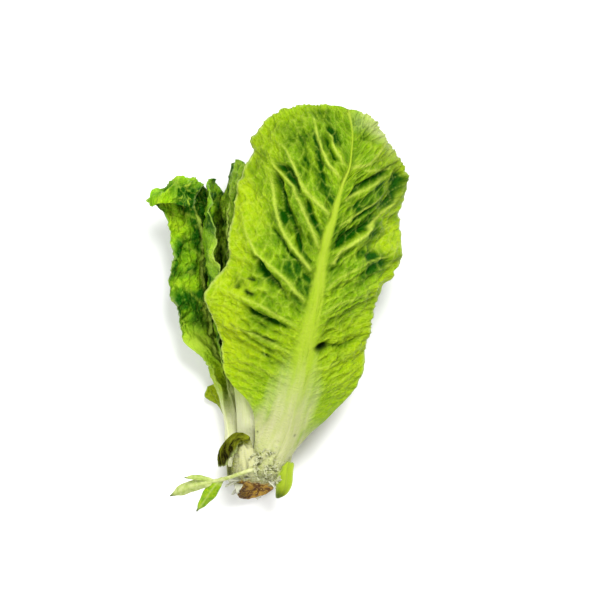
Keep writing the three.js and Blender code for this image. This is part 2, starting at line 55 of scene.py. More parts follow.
# The head's body along y: y, centre x, centre z, half width, half height
BODY = [
    [-112, -13.5, 21.0, 15.0, 15.0], [-98, -11.0, 21.5, 16.8, 16.5], [-80, -8.0, 22.5, 18.6, 18.6],
    [-68, -4.5, 25.0, 22.5, 22.0], [-56, -0.5, 27.5, 27.5, 26.0], [-40, 4.0, 30.5, 34.0, 30.0],
    [-15, 9.0, 33.5, 41.0, 34.0], [10, 12.0, 35.5, 45.0, 36.0], [45, 15.0, 36.5, 47.0, 37.0],
    [80, 17.0, 36.0, 44.0, 36.0], [110, 18.0, 35.0, 37.0, 32.0],
]

# Stem radius along y, from the cut end to the growing tip
STEM = [[-118, 12.0], [-108, 12.6], [-100, 11.6], [-92, 9.6], [-84, 7.2], [-76, 4.6], [-68, 2.2]]


# Small functions for shapes

def mix(a, b, share):
    return a + (b - a) * share


def clamped(value):
    return np.clip(value, 0, 1)


def smoothstep(start, stop, value):
    share = clamped((value - start) / (stop - start))
    return share * share * (3 - 2 * share)


def bump(value):
    """A smooth hump: 1 where the value is 0, and near 0 beyond 2."""
    return np.exp(-np.square(value))


def along(rows, t):
    """A smooth curve through the rows of a table, read at t. Each row starts with its own t."""
    rows = np.asarray(rows, float)
    t = np.asarray(t, float)
    i = np.searchsorted(rows[1:-1, 0], t, side="left")
    before = rows[np.maximum(i - 1, 0)]
    start = rows[i]
    end = rows[i + 1]
    after = rows[np.minimum(i + 2, len(rows) - 1)]
    span = (end[..., 0] - start[..., 0])[..., None]
    s = clamped((t - start[..., 0])[..., None] / span)
    slope_in = (end - before) / (end[..., :1] - before[..., :1]) * span
    slope_out = (after - start) / (after[..., :1] - start[..., :1]) * span
    value = (
        start * (2 * s**3 - 3 * s**2 + 1)
        + slope_in * (s**3 - 2 * s**2 + s)
        + end * (3 * s**2 - 2 * s**3)
        + slope_out * (s**3 - s**2)
    )
    return value[..., 1:]


def evenly(points):
    """Rows whose t runs evenly from 0 to 1."""
    return [[i / (len(points) - 1), *point] for i, point in enumerate(points)]


def unit(vectors):
    return vectors / np.maximum(np.linalg.norm(vectors, axis=-1, keepdims=True), 1e-9)


def scatter(i, j, seed):
    """A fixed random number from 0 to 1 for each pair of whole numbers."""
    value = np.sin(i * 127.1 + j * 311.7 + seed * 74.7) * 43758.5453
    return value - np.floor(value)


def noise(x, y, size, seed):
    """Smooth random relief from -1 to 1, with lumps of the given size."""
    gx, gy = x / size, y / size
    i, j = np.floor(gx), np.floor(gy)
    sx, sy = smoothstep(0, 1, gx - i), smoothstep(0, 1, gy - j)
    low = mix(scatter(i, j, seed), scatter(i + 1, j, seed), sx)
    high = mix(scatter(i, j + 1, seed), scatter(i + 1, j + 1, seed), sx)
    return 2 * mix(low, high, sy) - 1


def cells(x, y, size, seed):
    """Irregular cells: the distance from their borders in shares of their size, and a random number each."""
    gx, gy = x / size, y / size
    i, j = np.floor(gx), np.floor(gy)
    nearest = np.full(np.shape(x), 9.0)
    second = nearest
    label = np.zeros(np.shape(x))
    for di in (-1, 0, 1):
        for dj in (-1, 0, 1):
            ci, cj = i + di, j + dj
            px = ci + 0.15 + 0.7 * scatter(ci, cj, seed)
            py = cj + 0.15 + 0.7 * scatter(ci, cj, seed + 9)
            distance = np.hypot(gx - px, gy - py)
            closer = distance < nearest
            second = np.where(closer, nearest, np.minimum(second, distance))
            label = np.where(closer, scatter(ci, cj, seed + 17), label)
            nearest = np.where(closer, distance, nearest)
    return second - nearest, label


def crests(value):
    """Thin crests where a relief from -1 to 1 crosses 0."""
    return (1 - np.abs(value)) ** 3


def line_distance(x, y, line):
    """Distance of each place from a line through points, its share of the line's length, and its hand.

    The hand is 1 on the left of the line's direction and -1 on the right.
    """
    points = np.asarray(line, float)
    lengths = np.hypot(*np.diff(points[:, :2], axis=0).T)
    total = lengths.sum()
    best = np.full(np.shape(x), 1e9)
    place = np.zeros(np.shape(x))
    hand = np.ones(np.shape(x))
    walked = 0.0
    for (ax, ay), (bx, by), length in zip(points[:-1, :2], points[1:, :2], lengths):
        s = clamped(((x - ax) * (bx - ax) + (y - ay) * (by - ay)) / length**2)
        distance = np.hypot(x - ax - s * (bx - ax), y - ay - s * (by - ay))
        closer = distance < best
        turn = np.sign((bx - ax) * (y - ay) - (by - ay) * (x - ax))
        place = np.where(closer, (walked + s * length) / total, place)
        hand = np.where(closer, turn, hand)
        best = np.where(closer, distance, best)
        walked += length
    return best, place, hand


# Surfaces that leaves follow, the same as those of the solids

def rail_surface(middle, left, right, crown=0.0, chevron=None):
    """A surface through three curves along a leaf. crown bends each half out, chevron bends rows up."""
    m, l, r = evenly(middle), evenly(left), evenly(right)

    def base(u, v):
        centre = along(m, u)
        left_side, right_side = along(l, u), along(r, u)
        side = np.where((v < 0)[..., None], left_side, right_side)
        upward = along(m, np.minimum(u + 0.02, 1)) - along(m, np.maximum(u - 0.02, 0))
        normal = unit(np.cross(right_side - left_side, upward))
        w = np.abs(v)
        bow = 4 * w * (1 - w)
        lift = crown(u, v) if callable(crown) else crown
        point = mix(centre, side, w[..., None]) + normal * (bow * lift)[..., None]
        if chevron:
            point = point + unit(upward) * (bow * chevron(u))[..., None]
        return point

    return base


def layer_surface(layer, turn, tip_turn, width, limit, y_from, y_to, petiole=0.8, lean=(0, 0), drop=9):
    """A surface that wraps round the head's body as one of its layers. Turns are in degrees, 0 being up."""

    def base(u, v):
        y = mix(y_from, y_to, u) - drop * v * v * u * u
        x, z, half_wide, half_high = np.moveaxis(along(BODY, y), -1, 0)
        mean = (half_wide + half_high) / 2
        stem = np.where(y < STEM[-1][0], along(STEM, y)[..., 0], 0)
        share = np.maximum(layer, (stem + STEM_GAP + PETIOLE) / mean)
        opening = mix(petiole, 1, smoothstep(0.12, 0.62, u))
        closing = np.sqrt(1 - clamped((u - 0.7) / 0.38) ** 2)
        half_angle = np.minimum(width / (share * mean), math.radians(limit)) * opening * closing
        angle = np.radians(mix(turn, tip_turn, smoothstep(0.1, 0.7, u))) + v * half_angle
        away = smoothstep(0.25, 1, u)
        return np.stack(
            [
                x + share * half_wide * np.sin(angle) + lean[0] * away,
                y,
                z + share * half_high * np.cos(angle) + lean[1] * away,
            ],
            axis=-1,
        )

    return base


def pushed(base, pushes, middle_share=0.0):
    """The same surface with parts pushed sideways. Each push holds x, y, how far it reaches, and the shift.

    middle_share is how much of the shift the middle of the leaf has.
    """

    def surface(u, v):
        point = base(u, v)
        outer = mix(middle_share, 1, smoothstep(0.3, 1, np.abs(v)))
        for x, y, reach, shift_x, shift_y in pushes:
            share = bump(np.hypot(point[..., 0] - x, point[..., 1] - y) / reach) * outer
            point = point + share[..., None] * np.array([shift_x, shift_y, 0.0])
        return point

    return surface


# Leaf meshes

def grid_steps(grid, step, axis):
    """Differences of a grid's points over a number of steps to each side."""
    count = grid.shape[axis]
    later = np.minimum(np.arange(count) + step, count - 1)
    earlier = np.maximum(np.arange(count) - step, 0)
    return np.take(grid, later, axis) - np.take(grid, earlier, axis)


class Leaf:
    """A leaf's fine grid: its smooth surface, the normals there, and places on the blade in millimetres."""

    def __init__(self, base, rows, columns, solid_rows, solid_columns, outward=1):
        self.rows, self.columns = rows, columns
        self.u, self.v = np.meshgrid(
            np.linspace(0, 1, rows + 1), np.linspace(-1, 1, columns + 1), indexing="ij"
        )
        self.w = np.abs(self.v)
        self.smooth = base(self.u, self.v)
        self.x, self.y = self.smooth[..., 0], self.smooth[..., 1]
        across = grid_steps(self.smooth, max(1, round(columns / solid_columns)), 1)
        upward = grid_steps(self.smooth, max(1, round(rows / solid_rows)), 0)
        self.normal = unit(np.cross(across, upward)) * outward
        wide = np.linalg.norm(np.diff(self.smooth, axis=1), axis=-1)
        long = np.linalg.norm(np.diff(self.smooth, axis=0), axis=-1)
        self.across = np.concatenate([np.zeros((rows + 1, 1)), np.cumsum(wide, axis=1)], axis=1)
        self.across -= self.across[:, columns // 2][:, None]
        self.upward = np.concatenate([np.zeros((1, columns + 1)), np.cumsum(long, axis=0)], axis=0)
        self.length = self.upward[:, columns // 2].max()
        edge = np.abs(np.where(self.v < 0, self.across[:, :1], self.across[:, -1:]))
        self.inset = edge - np.abs(self.across)

    def noise(self, size, seed, stretch=1.0):
        """Random relief over the leaf. A stretch below 1 draws it out along the leaf."""
        return noise(self.across, stretch * self.upward, size, seed)

    def crests(self, size, seed):
        return crests(self.noise(size, seed))

    def spot(self, x, y, wide, long):
        """A soft spot seen from above: 1 at its middle, near 0 beyond twice its half breadth or length."""
        return bump(np.hypot((self.x - x) / wide, (self.y - y) / long))

    def plain(self, value=0.0):
        return np.full_like(self.u, value)


class Paint(dict):
    """The attributes that a leaf's material reads, each a share from 0 to 1."""

    def more(self, key, value):
        self[key] = clamped(self[key] + value)

    def less(self, key, share):
        self[key] = self[key] * (1 - share)


def leaf_shell(leaf, lift, rib, thickness, paint, low=0.0, foot=0.0, flesh=0.0, place=None):
    """A leaf's closed shell. lift moves both faces, rib thickens the outer one, paint holds its attributes.

    foot is how much the base swells inwards, so that it meets the stem. flesh is how much the stalk does.
    place holds two distances in millimetres that small colours follow, if not those across and up the leaf.
    """
    from_margin = np.minimum(leaf.inset, (1 - leaf.u) * leaf.length)
    depth = mix(EDGE_THICKNESS, thickness, smoothstep(0, 4, from_margin))
    depth = depth + foot * (1 - smoothstep(0.01, 0.07, leaf.u))
    depth = depth + flesh * (1 - smoothstep(0.24, 0.46, leaf.u)) * (1 - leaf.w**4)
    outer = leaf.smooth + leaf.normal * (lift + rib)[..., None]
    inner = leaf.smooth + leaf.normal * (lift - depth)[..., None]
    outer_is_low = outer[..., 2] < inner[..., 2]
    lowest = np.maximum(np.minimum(outer[..., 2], inner[..., 2]), low)
    highest = np.maximum(np.maximum(outer[..., 2], inner[..., 2]), low + depth)
    outer[..., 2] = np.where(outer_is_low, lowest, highest)
    inner[..., 2] = np.where(outer_is_low, highest, lowest)
    points = np.concatenate([outer.reshape(-1, 3), inner.reshape(-1, 3)])
    faces, is_rim = shell_faces(leaf.rows, leaf.columns)
    values = {key: np.tile(np.broadcast_to(value, leaf.u.shape).ravel(), 2) for key, value in paint.items()}
    sideways, upward = (leaf.across, leaf.upward) if place is None else place
    place = np.stack([sideways, upward, np.zeros_like(leaf.u)], axis=-1).reshape(-1, 3)
    return points, turned_out(points, faces), values, is_rim, np.tile(place, (2, 1))


def turned_out(points, faces):
    """The faces of a closed shell, all facing out."""
    corner = points[faces[:, [0, 1, 3]]]
    volume = np.einsum("ij,ij->i", corner[:, 0], np.cross(corner[:, 1], corner[:, 2])).sum()
    return faces if volume > 0 else faces[:, ::-1]


def shell_faces(rows, columns):
    """Quads of two like grids and of the rim that joins them, and which of them are the rim."""
    count = (rows + 1) * (columns + 1)
    i, j = np.meshgrid(np.arange(rows), np.arange(columns), indexing="ij")
    a = (i * (columns + 1) + j).ravel()
    sheet = np.stack([a, a + 1, a + columns + 2, a + columns + 1], axis=1)
    down, across = np.arange(rows), np.arange(columns)
    left = down * (columns + 1)
    right = left + columns
    top = rows * (columns + 1) + across
    step = columns + 1
    rim = np.concatenate(
        [
            np.stack([left, left + step, left + step + count, left + count], axis=1),
            np.stack([right + count, right + step + count, right + step, right], axis=1),
            np.stack([across + count, across + 1 + count, across + 1, across], axis=1),
            np.stack([top, top + 1, top + 1 + count, top + count], axis=1),
        ]
    )
    faces = np.concatenate([sheet, sheet[:, ::-1] + count, rim])
    is_rim = np.zeros(len(faces), bool)
    is_rim[2 * len(sheet):] = True
    return faces, is_rim


def tube_shell(rings, sides, values):
    """The closed shell of quads through a stack of like rings of points, its first and last ring closed."""
    points = rings.reshape(-1, 3)
    count = len(points) // sides
    i, k = np.meshgrid(np.arange(count - 1), np.arange(sides), indexing="ij")
    a, b = i * sides + k, i * sides + (k + 1) % sides
    faces = np.stack([a, b, b + sides, a + sides], axis=-1).reshape(-1, 4)
    faces = np.concatenate([faces, end_quads(0, sides), end_quads((count - 1) * sides, sides)[:, ::-1]])
    return points, turned_out(points, faces), values, np.zeros(len(faces), bool), points.copy()


def end_quads(start, sides):
    """Quads that close a ring of points."""
    k = np.arange(sides // 2 - 1)
    return np.stack([start + k, start + sides - 1 - k, start + sides - 2 - k, start + k + 1], axis=1)


built = []


def make_piece(name, shells):
    """An object from shells: points in millimetres, quads, attributes, which quads stay flat, and places."""
    starts = np.cumsum([0] + [len(points) for points, *_ in shells[:-1]])
    points = np.concatenate([shell[0] for shell in shells])
    faces = np.concatenate([shell[1] + start for shell, start in zip(shells, starts)])
    is_flat = np.concatenate([shell[3] for shell in shells])
    place = np.concatenate([shell[4] for shell in shells])
    built.append(points)
    mesh = bpy.data.meshes.new(name)
    mesh.vertices.add(len(points))
    mesh.vertices.foreach_set("co", (points * MM).astype(np.float32).ravel())
    mesh.loops.add(faces.size)
    mesh.loops.foreach_set("vertex_index", faces.astype(np.int32).ravel())
    mesh.polygons.add(len(faces))
    mesh.polygons.foreach_set("loop_start", np.arange(0, faces.size, 4, dtype=np.int32))
    mesh.update(calc_edges=True)
    mesh.validate()
    mesh.polygons.foreach_set("use_smooth", ~is_flat)
    for key in shells[0][2]:
        layer = mesh.attributes.new(key, "FLOAT", "POINT")
        values = np.concatenate([shell[2][key] for shell in shells])
        layer.data.foreach_set("value", values.astype(np.float32))
    layer = mesh.attributes.new("place", "FLOAT_VECTOR", "POINT")
    layer.data.foreach_set("vector", place.astype(np.float32).ravel())
    piece = bpy.data.objects.new(name, mesh)
    bpy.context.scene.collection.objects.link(piece)
    return piece


def install(name, node, slot, shells, material):
    """Puts a piece made of shells in the place of a solid."""
    piece = make_piece(name, shells)
    piece.data.materials.append(material)
    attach(piece, "root")
    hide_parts(node)


# Colours, as they look in daylight, and materials

LIGHT_STRENGTH = 1.64


def colour(red, green, blue):
    """A colour given by its screen values from 0 to 255, as it looks under this scene's light."""
    values = np.array([red, green, blue]) / 255
    linear = np.where(values <= 0.04045, values / 12.92, ((values + 0.055) / 1.055) ** 2.4)
    return (*(linear / LIGHT_STRENGTH), 1.0)


class Nodes:
    """A short way to write a material's nodes. surface is its colour so far, and coat lays one over it."""

    def __init__(self, name, surface=None):
        self.material = bpy.data.materials.new(name)
        self.material.use_nodes = True
        self.tree = self.material.node_tree
        self.shader = self.tree.nodes["Principled BSDF"]
        self.surface = surface

    def add(self, kind, inputs=None, **settings):
        node = self.tree.nodes.new(kind)
        for key, value in settings.items():
            setattr(node, key, value)
        self.put(node, inputs or {})
        return node

    def put(self, node, inputs):
        for key, value in inputs.items():
            if isinstance(value, bpy.types.NodeSocket):
                self.tree.links.new(value, node.inputs[key])
            else:
                node.inputs[key].default_value = value

    def share(self, name):
        return self.add("ShaderNodeAttribute", attribute_name=name).outputs["Fac"]

    def place(self):
        return self.add("ShaderNodeAttribute", attribute_name="place").outputs["Vector"]

    def stretched(self, where, up):
        """The same places, drawn out along the leaf."""
        return self.add("ShaderNodeMapping", {"Vector": where, "Scale": (1.0, up, 1.0)}).outputs["Vector"]

    def blend(self, a, b, share):
        return self.add("ShaderNodeMix", {0: share, 6: a, 7: b}, data_type="RGBA").outputs[2]

    def coat(self, colour, share, strength=1.0):
        if strength != 1.0:
            share = self.times(share, strength)
        self.surface = self.blend(self.surface, colour, share)

    def math(self, operation, a, b, clamp=False):
        return self.add("ShaderNodeMath", {0: a, 1: b}, operation=operation, use_clamp=clamp).outputs[0]

    def times(self, a, b):
        return self.math("MULTIPLY", a, b)

    def sum(self, a, b, clamp=False):
        return self.math("ADD", a, b, clamp)

    def ramp(self, value, from_low, from_high, to_low=0.0, to_high=1.0):
        inputs = {
            "Value": value, "From Min": from_low, "From Max": from_high, "To Min": to_low, "To Max": to_high,
        }
        node = self.add("ShaderNodeMapRange", inputs, clamp=True, interpolation_type="SMOOTHSTEP")
        return node.outputs["Result"]

    def noise(self, where, scale, detail=3.0, roughness=0.55):
        inputs = {"Vector": where, "Scale": scale, "Detail": detail, "Roughness": roughness}
        return self.add("ShaderNodeTexNoise", inputs).outputs["Fac"]

    def spots(self, where, scale, low, high, detail=3.0, roughness=0.55):
        return self.ramp(self.noise(where, scale, detail, roughness), low, high)

    def lines(self, where, scale, breadth):
        """A net of thin lines between cells."""
        inputs = {"Vector": where, "Scale": scale}
        node = self.add("ShaderNodeTexVoronoi", inputs, feature="DISTANCE_TO_EDGE")
        return self.ramp(node.outputs["Distance"], 0.0, breadth, 1.0, 0.0)

    def relief(self, height, strength, distance, onto=None):
        inputs = {"Height": height, "Strength": strength, "Distance": distance}
        if onto is not None:
            inputs["Normal"] = onto
        return self.add("ShaderNodeBump", inputs).outputs["Normal"]

    def finished(self, **inputs):
        """The material, its shader's inputs set: names with _ for each space."""
        self.put(self.shader, {"Base Color": self.surface})
        self.put(self.shader, {key.replace("_", " "): value for key, value in inputs.items()})
        return self.material


YELLOW = colour(200, 217, 10)
PALE_EDGE = colour(204, 220, 132)
SHADOW_AND_SPECK_DARK = colour(14, 38, 4)
CRUST_WHITE = colour(230, 230, 184)
SPECK_BROWN = colour(84, 80, 24)


def leaf_material(name, light, dark, shade_and_dark_tone_colour, vein, rib, root, gloss=0.42, shine=0.12):
    """A leaf blade: two greens in patches, painted shade in its folds and hollows, paler veins and rib, a
    whitish base.
    """
    n = Nodes(name, light)
    where = n.place()
    speckle = n.spots(where, 0.45, 0.35, 0.7, detail=4.0)
    net = n.lines(where, 0.42, 0.16)
    finer_net = n.lines(where, 1.2, 0.12)
    fibres = n.spots(n.stretched(where, 0.08), 0.9, 0.3, 0.7, detail=4.0)
    soil = n.share("soil")
    n.coat(dark, n.spots(where, 0.07, 0.36, 0.66), 0.8)
    # Lighter tone, and painted highlights on ridges and blisters.
    n.coat(light, n.share("high"), 0.75)
    n.coat(dark, speckle, 0.5)
    n.coat(vein, n.spots(where, 1.3, 0.52, 0.7, detail=2.0), 0.25)
    n.coat(vein, net, 0.22)
    n.coat(vein, finer_net, 0.1)
    n.coat(YELLOW, n.times(n.share("yellow"), n.ramp(speckle, 0.0, 1.0, 1.0, 0.7)))
    # Painted shade in folds, pockets, pits and hollows; on the wilted leaf its brown mottles.
    n.coat(shade_and_dark_tone_colour, n.share("shade_and_dark_tone"))
    # Paler veins; on the blistered leaves this share also holds painted glints on crests.
    n.coat(vein, n.share("vein"))
    n.coat(n.blend(rib, light, n.times(fibres, 0.5)), n.share("rib"))
    n.coat(n.blend(root, rib, n.times(fibres, 0.35)), n.share("root"))
    n.coat(PALE_EDGE, n.share("margin"))
    # Painted shadow in holes and in the tear, and dark specks.
    n.coat(SHADOW_AND_SPECK_DARK, n.share("shadow_and_specks"))
    n.coat(CRUST_WHITE, n.times(n.spots(where, 1.0, 0.48, 0.6), soil), 0.6)
    n.coat(SPECK_BROWN, n.times(n.spots(where, 0.9, 0.63, 0.69, detail=2.0, roughness=0.7), soil))
    smooth_parts = n.sum(n.share("root"), n.share("rib"), clamp=True)
    smooth_parts = n.sum(smooth_parts, n.share("smooth"), clamp=True)
    crinkles = n.times(n.noise(where, 0.42), n.math("SUBTRACT", 1.0, smooth_parts))
    grain = n.sum(n.times(n.noise(where, 1.6, 4.0), 0.6), n.times(net, 0.4))
    grain = n.sum(grain, n.times(finer_net, 0.25))
    return n.finished(
        Roughness=n.ramp(n.noise(where, 0.35), 0.3, 0.7, gloss - 0.06, gloss + 0.1),
        Normal=n.relief(grain, 0.5, 0.0007, onto=n.relief(crinkles, 0.9, 0.003)),
        Specular_IOR_Level=shine,
        Specular_Tint=(0.9, 1.0, 0.3, 1.0),
        Subsurface_Weight=0.12,
        Subsurface_Radius=(0.8, 1.0, 0.15),
        Subsurface_Scale=0.0015,
    )


# Relief that every leaf has

def leaf_thickness(u):
    return mix(PETIOLE, BLADE, smoothstep(0.1, 0.45, u))


def leaf_rib(leaf, height, share):
    breadth = mix(share, share * 0.28, smoothstep(0, 0.6, leaf.u))
    return mix(height, 0.3, smoothstep(0, 0.75, leaf.u)) * bump(leaf.v / breadth)


def side_veins(leaf, count, rise, phase, width_mm):
    """How close each place is to one of the side veins, which leave the rib and bend to the tip."""
    turns = count * (leaf.u - rise * leaf.w) + phase / TURN
    distance = np.abs(turns - np.round(turns)) * leaf.length / count
    taper = 1 - 0.5 * leaf.w
    return bump(distance / (width_mm * taper))


def uneven_y(leaf, size, seed):
    """Places along y, made uneven as the border where a pale stalk turns into green blade."""
    return leaf.y + 5 * leaf.noise(size, seed, stretch=0.1)


def leaf_looks(leaf, seed, veins, blade, pocket_mm, pocket_size, rib_mm):
    """The fine relief of a blade, its pockets between small veins, and the attributes for its colour."""
    warp = 1.5 * leaf.noise(11, seed + 3)
    border, label = cells(leaf.across + warp, leaf.upward - warp, pocket_size, seed)
    pocket = smoothstep(0.02, 0.5, border)
    fine = -pocket_mm * pocket * (0.6 + 0.6 * label) + 0.25 * pocket_mm * leaf.noise(3.2, seed + 5)
    small_vein = bump(border / 0.07) * (0.5 + 0.5 * label)
    rib = bump(leaf.across / (rib_mm * mix(1.0, 0.3, smoothstep(0, 0.8, leaf.u))))
    paint = Paint({key: leaf.plain() for key in ("root", "shadow_and_specks", "yellow", "smooth")})
    paint["vein"] = clamped(0.75 * veins + 0.3 * small_vein * blade)
    # Painted shade in the sunken pockets.
    paint["shade_and_dark_tone"] = clamped(0.3 * pocket * blade * (0.4 + 0.6 * label))
    paint["high"] = clamped(label * pocket)
    paint["rib"] = rib * smoothstep(1.02, 0.7, leaf.u)
    paint["margin"] = 0.3 * smoothstep(1.6, 0.2, leaf.inset) * blade
    paint["soil"] = smoothstep(-78, -96, leaf.y)
    return blade * fine, paint


# The large leaf that lies on top with its outer side up. Its rails are those of the solid.
FRONT_MIDDLE = [
    [-4.5, -97.5, 36.8], [5, -76, 45], [10.4, -57.6, 55], [15.3, -41.2, 62],
    [18.3, -25.3, 67], [21.4, -10.1, 71], [23.8, 2.1, 73], [26.2, 17.4, 75],
    [28.1, 32.6, 77], [31.1, 44.2, 78], [34.2, 54.6, 78], [37.2, 65.6, 78],
    [40.3, 75.9, 77], [44, 84.5, 76], [45.4, 94.9, 74], [46, 107, 70],
    [43.5, 121, 64],
]
FRONT_LEFT = [
    [-15.5, -99, 37.5], [-13.6, -75, 45.5], [-16.5, -58.9, 52.5], [-31.1, -40.6, 54],
    [-35.4, -19.2, 57], [-42.7, 5.2, 59.5], [-41.5, 14.3, 61.5], [-29.5, 30.8, 65],
    [-28.1, 47.9, 65], [-26.8, 66.2, 64.5], [-22, 83.3, 63.5], [-16.5, 93.6, 62],
    [-16.5, 102.2, 60], [-9.2, 114.4, 60], [5, 122.5, 61.5], [22, 124.3, 63],
    [37, 123.5, 63.5],
]
FRONT_RIGHT = [
    [3.6, -96.5, 31.5], [18, -79, 36], [32, -66.2, 42], [47, -48.5, 46],
    [52, -31.4, 49], [55, -14.9, 51], [58.8, 3.4, 52], [67, 14.3, 50],
    [74, 30.8, 47], [76.5, 49.1, 45], [76, 63.1, 45], [78, 78.4, 45],
    [72, 91.8, 48], [66.5, 102, 53], [60, 111, 57.5], [54, 117, 60.5],
    [48.5, 120.5, 62.5],
]

# Where its margin stands further out or in than that of the solid: x, y, reach and shift in x and y
FRONT_PUSHES = [
    [60, 115, 9, 3.0, 1.0], [75, 88, 11, 4.5, 1.5], [-30, 86, 11, 4.5, 0.0], [-12, 112, 8, 2.4, -0.5],
    [62, 18, 9, 2.2, 0.0], [53, -28, 12, 2.6, 0.0],
]

# Its side veins as seen from above: how high they stand in millimetres, and points of x and y
FRONT_VEINS = [
    [2.2, [(45, 84), (40, 88), (35, 97), (34, 103), (29, 110)]],
    [2.2, [(38, 79), (32, 86), (27, 96), (24, 105), (23, 112), (20, 121)]],
    [2.6, [(32, 57), (24, 64), (18, 71), (14, 77), (11, 84), (8, 92), (6, 96), (-1, 104)]],
    [2.2, [(26, 37), (20, 51), (15, 61), (10, 74), (-1, 86), (-5, 94), (-12, 97)]],
    [2.6, [(20, 24), (11, 36), (5, 44), (1, 53), (-1, 64), (-3, 76), (-4, 84), (-10, 90)]],
    [2.0, [(17, 5), (10, 12), (3, 20), (-12, 33), (-19, 48), (-22, 62)]],
    [1.5, [(14, -12), (4, -6), (-10, 2), (-24, 8), (-36, 12)]],
    [1.3, [(10, -28), (0, -23), (-14, -16), (-28, -10), (-36, -6)]],
    [0.9, [(6, -44), (-4, -40), (-16, -34), (-28, -30)]],
    [2.0, [(46, 85), (55, 88), (61, 94), (65, 101), (66, 104)]],
    [1.4, [(53, 84), (63, 84), (70, 86), (74, 90)]],
    [1.8, [(42, 66), (49, 70), (56, 73), (63, 78), (70, 84)]],
    [1.5, [(38, 51), (47, 56), (57, 62), (66, 70)]],
    [2.4, [(34, 28), (38, 35), (46, 40), (53, 45), (59, 51), (63, 57), (71, 64), (77, 74)]],
    [1.3, [(30, 12), (40, 20), (54, 27), (68, 32), (76, 40)]],
    [1.1, [(27, -4), (38, 3), (52, 8), (62, 12)]],
    [1.1, [(21, -37), (30, -36), (42, -30), (51, -24)]],
    [0.8, [(16, -52), (26, -50), (38, -44), (48, -36)]],
]
VEIN_BREADTH = 2.8
SAG = 2.6
SAG_REACH = 7

# How steeply side veins climb: y where they leave the rib, rise over run at the left, and at the right
VEIN_SLOPES = np.array([
    [-110, 0.4, 0.45], [-44, 0.42, 0.45], [-20, 0.5, 0.45], [0, 1.0, 0.55], [24, 1.6, 0.85],
    [50, 1.5, 0.85], [84, 1.5, 0.8], [140, 1.5, 0.8],
])

# Its folds: depth, half width, which hand is steep (1 left, -1 right, 0 neither), points of x and y
FRONT_FOLDS = [
    [3.5, 2.4, 0, [(30, 110), (35, 106), (39, 101)]],
    [3.0, 2.0, 1, [(30, 103), (33, 95), (38, 88)]],
    [4.5, 3.0, 1, [(23, 103), (26, 90), (29, 76)]],
    [5.0, 3.6, 1, [(18, 66), (21, 58), (26, 51)]],
    [4.0, 3.4, 1, [(0, 91), (6, 85), (12, 77), (17, 68)]],
    [6.5, 5.0, 1, [(-1, 84), (3, 74), (7, 64), (11, 53)]],
    [5.5, 2.4, -1, [(10, 51), (13, 42), (16, 35)]],
    [4.0, 2.4, 1, [(-3, 49), (4, 41), (12, 30), (16, 26)]],
    [6.5, 3.6, 1, [(-13, 31), (-8, 24), (-4, 19), (5, 9)]],
    [4.0, 1.9, 0, [(-20, 11), (-14, 8)]],
    [3.0, 1.5, 0, [(-18, 19), (-15, 17)]],
    [2.6, 1.5, 0, [(-27, 14), (-24, 12)]],
    [4.0, 3.0, 1, [(-18, 0), (-11, -4), (-3, -8), (5, -11)]],
    [2.6, 2.2, 1, [(-18, -14), (-8, -18), (2, -22)]],
    [2.2, 1.8, 1, [(-10, -28), (-3, -33), (4, -36)]],
    [6.5, 3.6, 1, [(41, 65), (49, 74), (63, 82), (74, 90)]],
    [4.5, 5.0, 0, [(75, 86), (74, 75), (69, 65), (61, 57)]],
    [3.5, 3.4, -1, [(45, 51), (53, 57), (60, 62)]],
    [6.5, 3.8, -1, [(35, 36), (46, 44), (57, 50), (64, 56)]],
    [2.4, 3.0, -1, [(33, 26), (41, 31), (47, 35)]],
    [2.4, 7.0, 0, [(54, 33), (66, 28)]],
    [1.8, 3.2, 0, [(50, 106), (61, 102)]],
    [6.0, 3.2, 0, [(23, -26), (27, -24), (31, -24)]],
    [3.0, 2.2, 1, [(31, -24), (39, -24), (47, -20), (52, -16)]],
]
STEEP = 1.0

# Half breadth of its rib in millimetres, from the base to the tip
FRONT_RIB = np.array([
    [0.0, 9.0], [0.2, 8.2], [0.28, 7.0], [0.37, 5.2], [0.46, 3.9], [0.53, 3.2], [0.62, 2.4], [0.71, 1.6],
    [0.85, 1.2], [1.0, 0.8],
])

# Dark specks: x, y and half breadth. Holes, painted dark as the shadow seen through them: half breadth, and
# points of x and y
DARK_SPECKS = [(-12, -75.3, 0.7), (10.4, -76.6, 0.7), (6.7, -91, 0.7), (-5.5, -94.5, 0.7)]
HOLES = [[1.0, (-19.5, 10.6), (-15, 8.6)], [0.8, (-18, 18.6), (-16, 17.6)], [0.7, (-26, 13.6), (-25, 13)]]

# Its tear: middle, half breadth and half length, and how deep it is
TEAR = (27.5, -24.5, 5.2, 2.4)
TEAR_DEPTH = 3.0

# Gathers at its lower left: middle, half breadth and half length of their zone, pitch and slant
GATHERS_AT = (-8, -20, 19, 25)
GATHERS_PITCH = 5.2
GATHERS_SLANT = math.radians(30)

# Where its margin is thin and pale, and where its pockets have less painted shade
THIN_EDGE_AT = (62, 108, 14, 14)
CLEAR_AT = (56, 104, 18, 16)

# Heights of its relief in millimetres
BLISTER, WRINKLE, POCKET, SMALL_POCKET, GATHER, WAVE, CRIMP = 0.8, 1.3, 1.1, 0.6, 1.4, 2.2, 0.8


def vein_course(x, y):
    """Where the side vein through each place leaves the rib, and how far along that vein the place is."""
    middle = np.array(FRONT_MIDDLE)
    low, high = np.full_like(x, -200.0), np.full_like(x, 200.0)
    at_left = x < np.interp(y, middle[:, 1], middle[:, 0])
    for _ in range(18):
        start = (low + high) / 2
        run = np.abs(x - np.interp(start, middle[:, 1], middle[:, 0]))
        slope = np.where(
            at_left,
            np.interp(start, VEIN_SLOPES[:, 0], VEIN_SLOPES[:, 1]),
            np.interp(start, VEIN_SLOPES[:, 0], VEIN_SLOPES[:, 2]),
        )
        too_low = start + slope * run < y
        low, high = np.where(too_low, start, low), np.where(too_low, high, start)
    return start, run * np.sqrt(1 + slope**2) * np.where(at_left, -1, 1)


